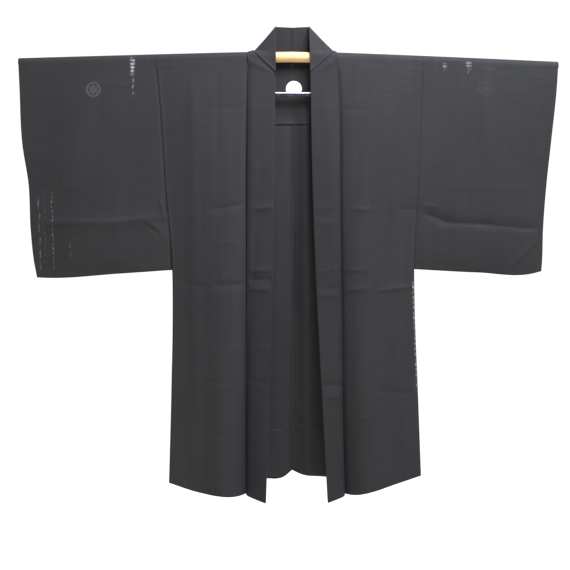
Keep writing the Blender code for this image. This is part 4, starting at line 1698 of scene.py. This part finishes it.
@dataclass
class FlatBar:
    """A flat metal bar or link with softened edges, sized by its solid."""

    node: str
    name: str
    edge: float = 0.0024
    inset: float = 0.0004

    def build(self, material: bpy.types.Material, wear_and_highlight: bpy.types.Material) -> bpy.types.Object:
        """Makes the bar, with a shallow panel let into its broad faces and a painted highlight on its upper
        faces.
        """
        low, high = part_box(self.node)
        centre, size = (low + high) / 2, high - low
        deselect()
        bpy.ops.mesh.primitive_cube_add(size=1.0, location=centre)
        obj = active()
        obj.scale = size
        bpy.ops.object.transform_apply(location=False, rotation=False, scale=True)
        bpy.ops.object.mode_set(mode="EDIT")
        edit_select(obj, "FACE", lambda face: abs(face.normal.y) > 0.9)
        bpy.ops.mesh.inset(thickness=min(size.x, size.z) * 0.22, use_individual=True)
        bpy.ops.mesh.inset(thickness=0.0004, depth=-self.inset, use_individual=True)
        bpy.ops.object.mode_set(mode="OBJECT")
        rounding = obj.modifiers.new("edges", "BEVEL")
        rounding.width = min(self.edge, min(size) * 0.3)
        rounding.segments = 3
        rounding.limit_method = "ANGLE"
        rounding.angle_limit = math.radians(60)
        settle(obj, self.name, self.node, material)
        # the second material is the painted highlight on the upper, upward faces
        obj.data.materials.append(wear_and_highlight)
        for face in obj.data.polygons:
            face.material_index = int(face.normal.z > 0.25 and face.center.z > centre.z)
        return obj


# --------------------------------------------------------------------------------------------------
# Room
# --------------------------------------------------------------------------------------------------


@dataclass
class Studio:
    """A pale floor, white surroundings that are brighter on the jacket's left, a soft light and the camera."""

    camera_x: float = -0.017
    camera_z: float = -0.547
    camera_distance: float = 3.4
    view_width: float = 1.368
    sensor: float = 36.0
    floor_z: float = -1.42
    floor_size: float = 24.0
    ambient: float = 1.08
    ambient_lean: float = 0.62
    key_place: tuple[float, float, float] = (0.46, -0.85, 1.10)
    key_aim: tuple[float, float, float] = (0.0, 0.0, -0.40)
    key_size: float = 0.85
    key_power: float = 138.0
    key_colour: tuple[float, float, float] = (0.73, 0.77, 1.0)

    def build(self) -> None:
        """Sets up the floor, the light and the camera."""
        bpy.ops.mesh.primitive_plane_add(size=self.floor_size, location=(0, 0, self.floor_z))
        floor = active()
        floor.name = "floor"
        material, _, shader = new_material("pale_floor")
        shader.inputs["Base Color"].default_value = (0.96, 0.96, 0.96, 1.0)
        shader.inputs["Roughness"].default_value = 0.9
        floor.data.materials.append(material)
        world = bpy.data.worlds.new("studio")
        world.use_nodes = True
        nodes = Nodes(world.node_tree)
        background = world.node_tree.nodes["Background"]
        background.inputs["Color"].default_value = (1.0, 1.0, 1.0, 1.0)
        toward_x, toward_y = nodes.split(nodes.add("ShaderNodeTexCoord").outputs["Generated"])
        in_front = nodes.remap(toward_y, 0.3, -0.3, 0.0, self.ambient * self.ambient_lean)
        nodes.link(nodes.plus(nodes.times(toward_x, in_front), self.ambient), background.inputs["Strength"])
        bpy.context.scene.world = world
        self.add_key()
        self.add_camera()
        bpy.context.scene.view_settings.view_transform = "Standard"

    def add_key(self) -> None:
        """Adds the cool, soft, square light above the jacket's left front."""
        data = bpy.data.lights.new("key", "AREA")
        data.size = self.key_size
        data.energy = self.key_power
        data.color = self.key_colour
        light = bpy.data.objects.new("key", data)
        light.visible_camera = False
        bpy.context.scene.collection.objects.link(light)
        self.look(light, self.key_place, self.key_aim)

    def add_camera(self) -> None:
        """Adds the camera, level and straight in front."""
        data = bpy.data.cameras.new("camera")
        data.sensor_width = self.sensor
        data.lens = self.sensor * self.camera_distance / self.view_width
        camera = bpy.data.objects.new("camera", data)
        bpy.context.scene.collection.objects.link(camera)
        place = (self.camera_x, -self.camera_distance, self.camera_z)
        self.look(camera, place, (self.camera_x, 0.0, self.camera_z))
        bpy.context.scene.camera = camera

    @staticmethod
    def look(obj: bpy.types.Object, place: Sequence[float], aim: Sequence[float]) -> None:
        """Puts an object at a place and turns it to look at a point."""
        obj.location = place
        obj.rotation_euler = (Vector(aim) - Vector(place)).to_track_quat("-Z", "Y").to_euler()


# --------------------------------------------------------------------------------------------------
# The whole
# --------------------------------------------------------------------------------------------------


def main() -> None:
    """Builds the jacket, its rod and the room."""
    groups = ClothGroups(ribbed_weave_group(), rosette_group(), glint_group())
    body_finish = GauzeFinish(
        "charcoal_gauze", crests=(Crest(0.0, 0.086, 0.019),),
    ).build(groups)
    left_front_finish = GauzeFinish(
        "left_body_gauze", crests=(Crest(0.0, 0.086, 0.019),),
        glints=(GlintLine(0.2885, -0.580, -0.860, 0.0026, 0.004, -0.035, 0.013, 0.5),
                GlintLine(0.2940, -0.600, -0.790, 0.0018, 0.003, -0.035, 0.008, 0.4)),
    ).build(groups)
    sleeve_finishes = {
        Side.RIGHT: GauzeFinish(
            "right_sleeve_gauze",
            crests=(Crest(0.475, 0.092, 0.0185), Crest(0.475, -0.090, 0.0185, strength=0.032)),
            glints=(
                GlintLine(0.3815, -0.014, -0.062, 0.0070, 0.003, 0.0, 0.0085, 0.95),
                GlintLine(0.3800, -0.050, -0.115, 0.0026, 0.008, 0.0, 0.015, 0.30),
                GlintLine(0.6080, -0.330, -0.515, 0.0020, 0.012, 0.03, 0.030, 0.22),
                GlintLine(0.5760, -0.325, -0.510, 0.0020, 0.014, 0.03, 0.011, 0.24),
                GlintLine(0.5950, -0.320, -0.480, 0.0016, 0.018, 0.03, 0.017, 0.10),
                GlintLine(0.5300, -0.440, -0.490, 0.0040, 0.030, 0.0, 0.020, 0.07),
            ),
        ).build(groups),
        Side.LEFT: GauzeFinish(
            "left_sleeve_gauze",
            crests=(Crest(0.475, 0.092, 0.0185), Crest(0.462, -0.082, 0.0185, strength=0.007)),
            glints=(
                GlintLine(0.3655, -0.024, -0.044, 0.0068, 0.002, 0.0, 0.009, 0.75),
                GlintLine(0.4225, -0.018, -0.040, 0.0080, 0.002, 0.0, 0.008, 0.80),
                GlintLine(0.4210, -0.036, -0.052, 0.0026, 0.004, 0.0, 0.012, 0.40),
                GlintLine(0.4700, -0.028, -0.040, 0.0220, 0.002, 0.0, 0.006, 0.12),
            ),
        ).build(groups),
    }
    collar_finish = GauzeFinish(
        "collar_gauze", dark=(0.0132, 0.0128, 0.0117), light=(0.0177, 0.0172, 0.0157),
    ).build(groups)
    lining_finish = GauzeFinish(
        "yoke_lining", crests=(Crest(5.0045, 0.0745, 0.0195, filled=0.62),), rib=0.0011,
    ).build(groups)
    bodies = {
        Side.RIGHT: BodyPanel(RIGHT).dress(body_finish),
        Side.LEFT: BodyPanel(LEFT).dress(left_front_finish),
    }
    linked = {
        half.side: [TurnUp(half, facing).dress(body_finish) for facing in Facing] for half in (RIGHT, LEFT)
    }
    linked[Side.LEFT].append(CentreAllowance(LEFT).dress(body_finish))
    sleeves = {half.side: Sleeve(half).dress(sleeve_finishes[half.side]) for half in (RIGHT, LEFT)}
    gussets = {half.side: Gusset(half).dress(body_finish) for half in (RIGHT, LEFT)}
    collar = Collar().dress(collar_finish)
    yoke = BackYoke().dress(lining_finish)
    metal = MetalFinish().build()
    # light grey metal for the painted highlight on the bars' upper faces
    wear_and_highlight = MetalFinish("painted_highlight_metal", body=(0.44, 0.44, 0.45), wear_and_highlight=(0.56, 0.56, 0.57)).build()
    Rod().build(WoodFinish().build())
    bars = {"lower_bar": "flat_bar", "link_left": "bar_link_left", "link_right": "bar_link_right"}
    for node, name in bars.items():
        FlatBar(node, name).build(metal, wear_and_highlight)
    Studio().build()


if __name__ == "__main__":
    main()
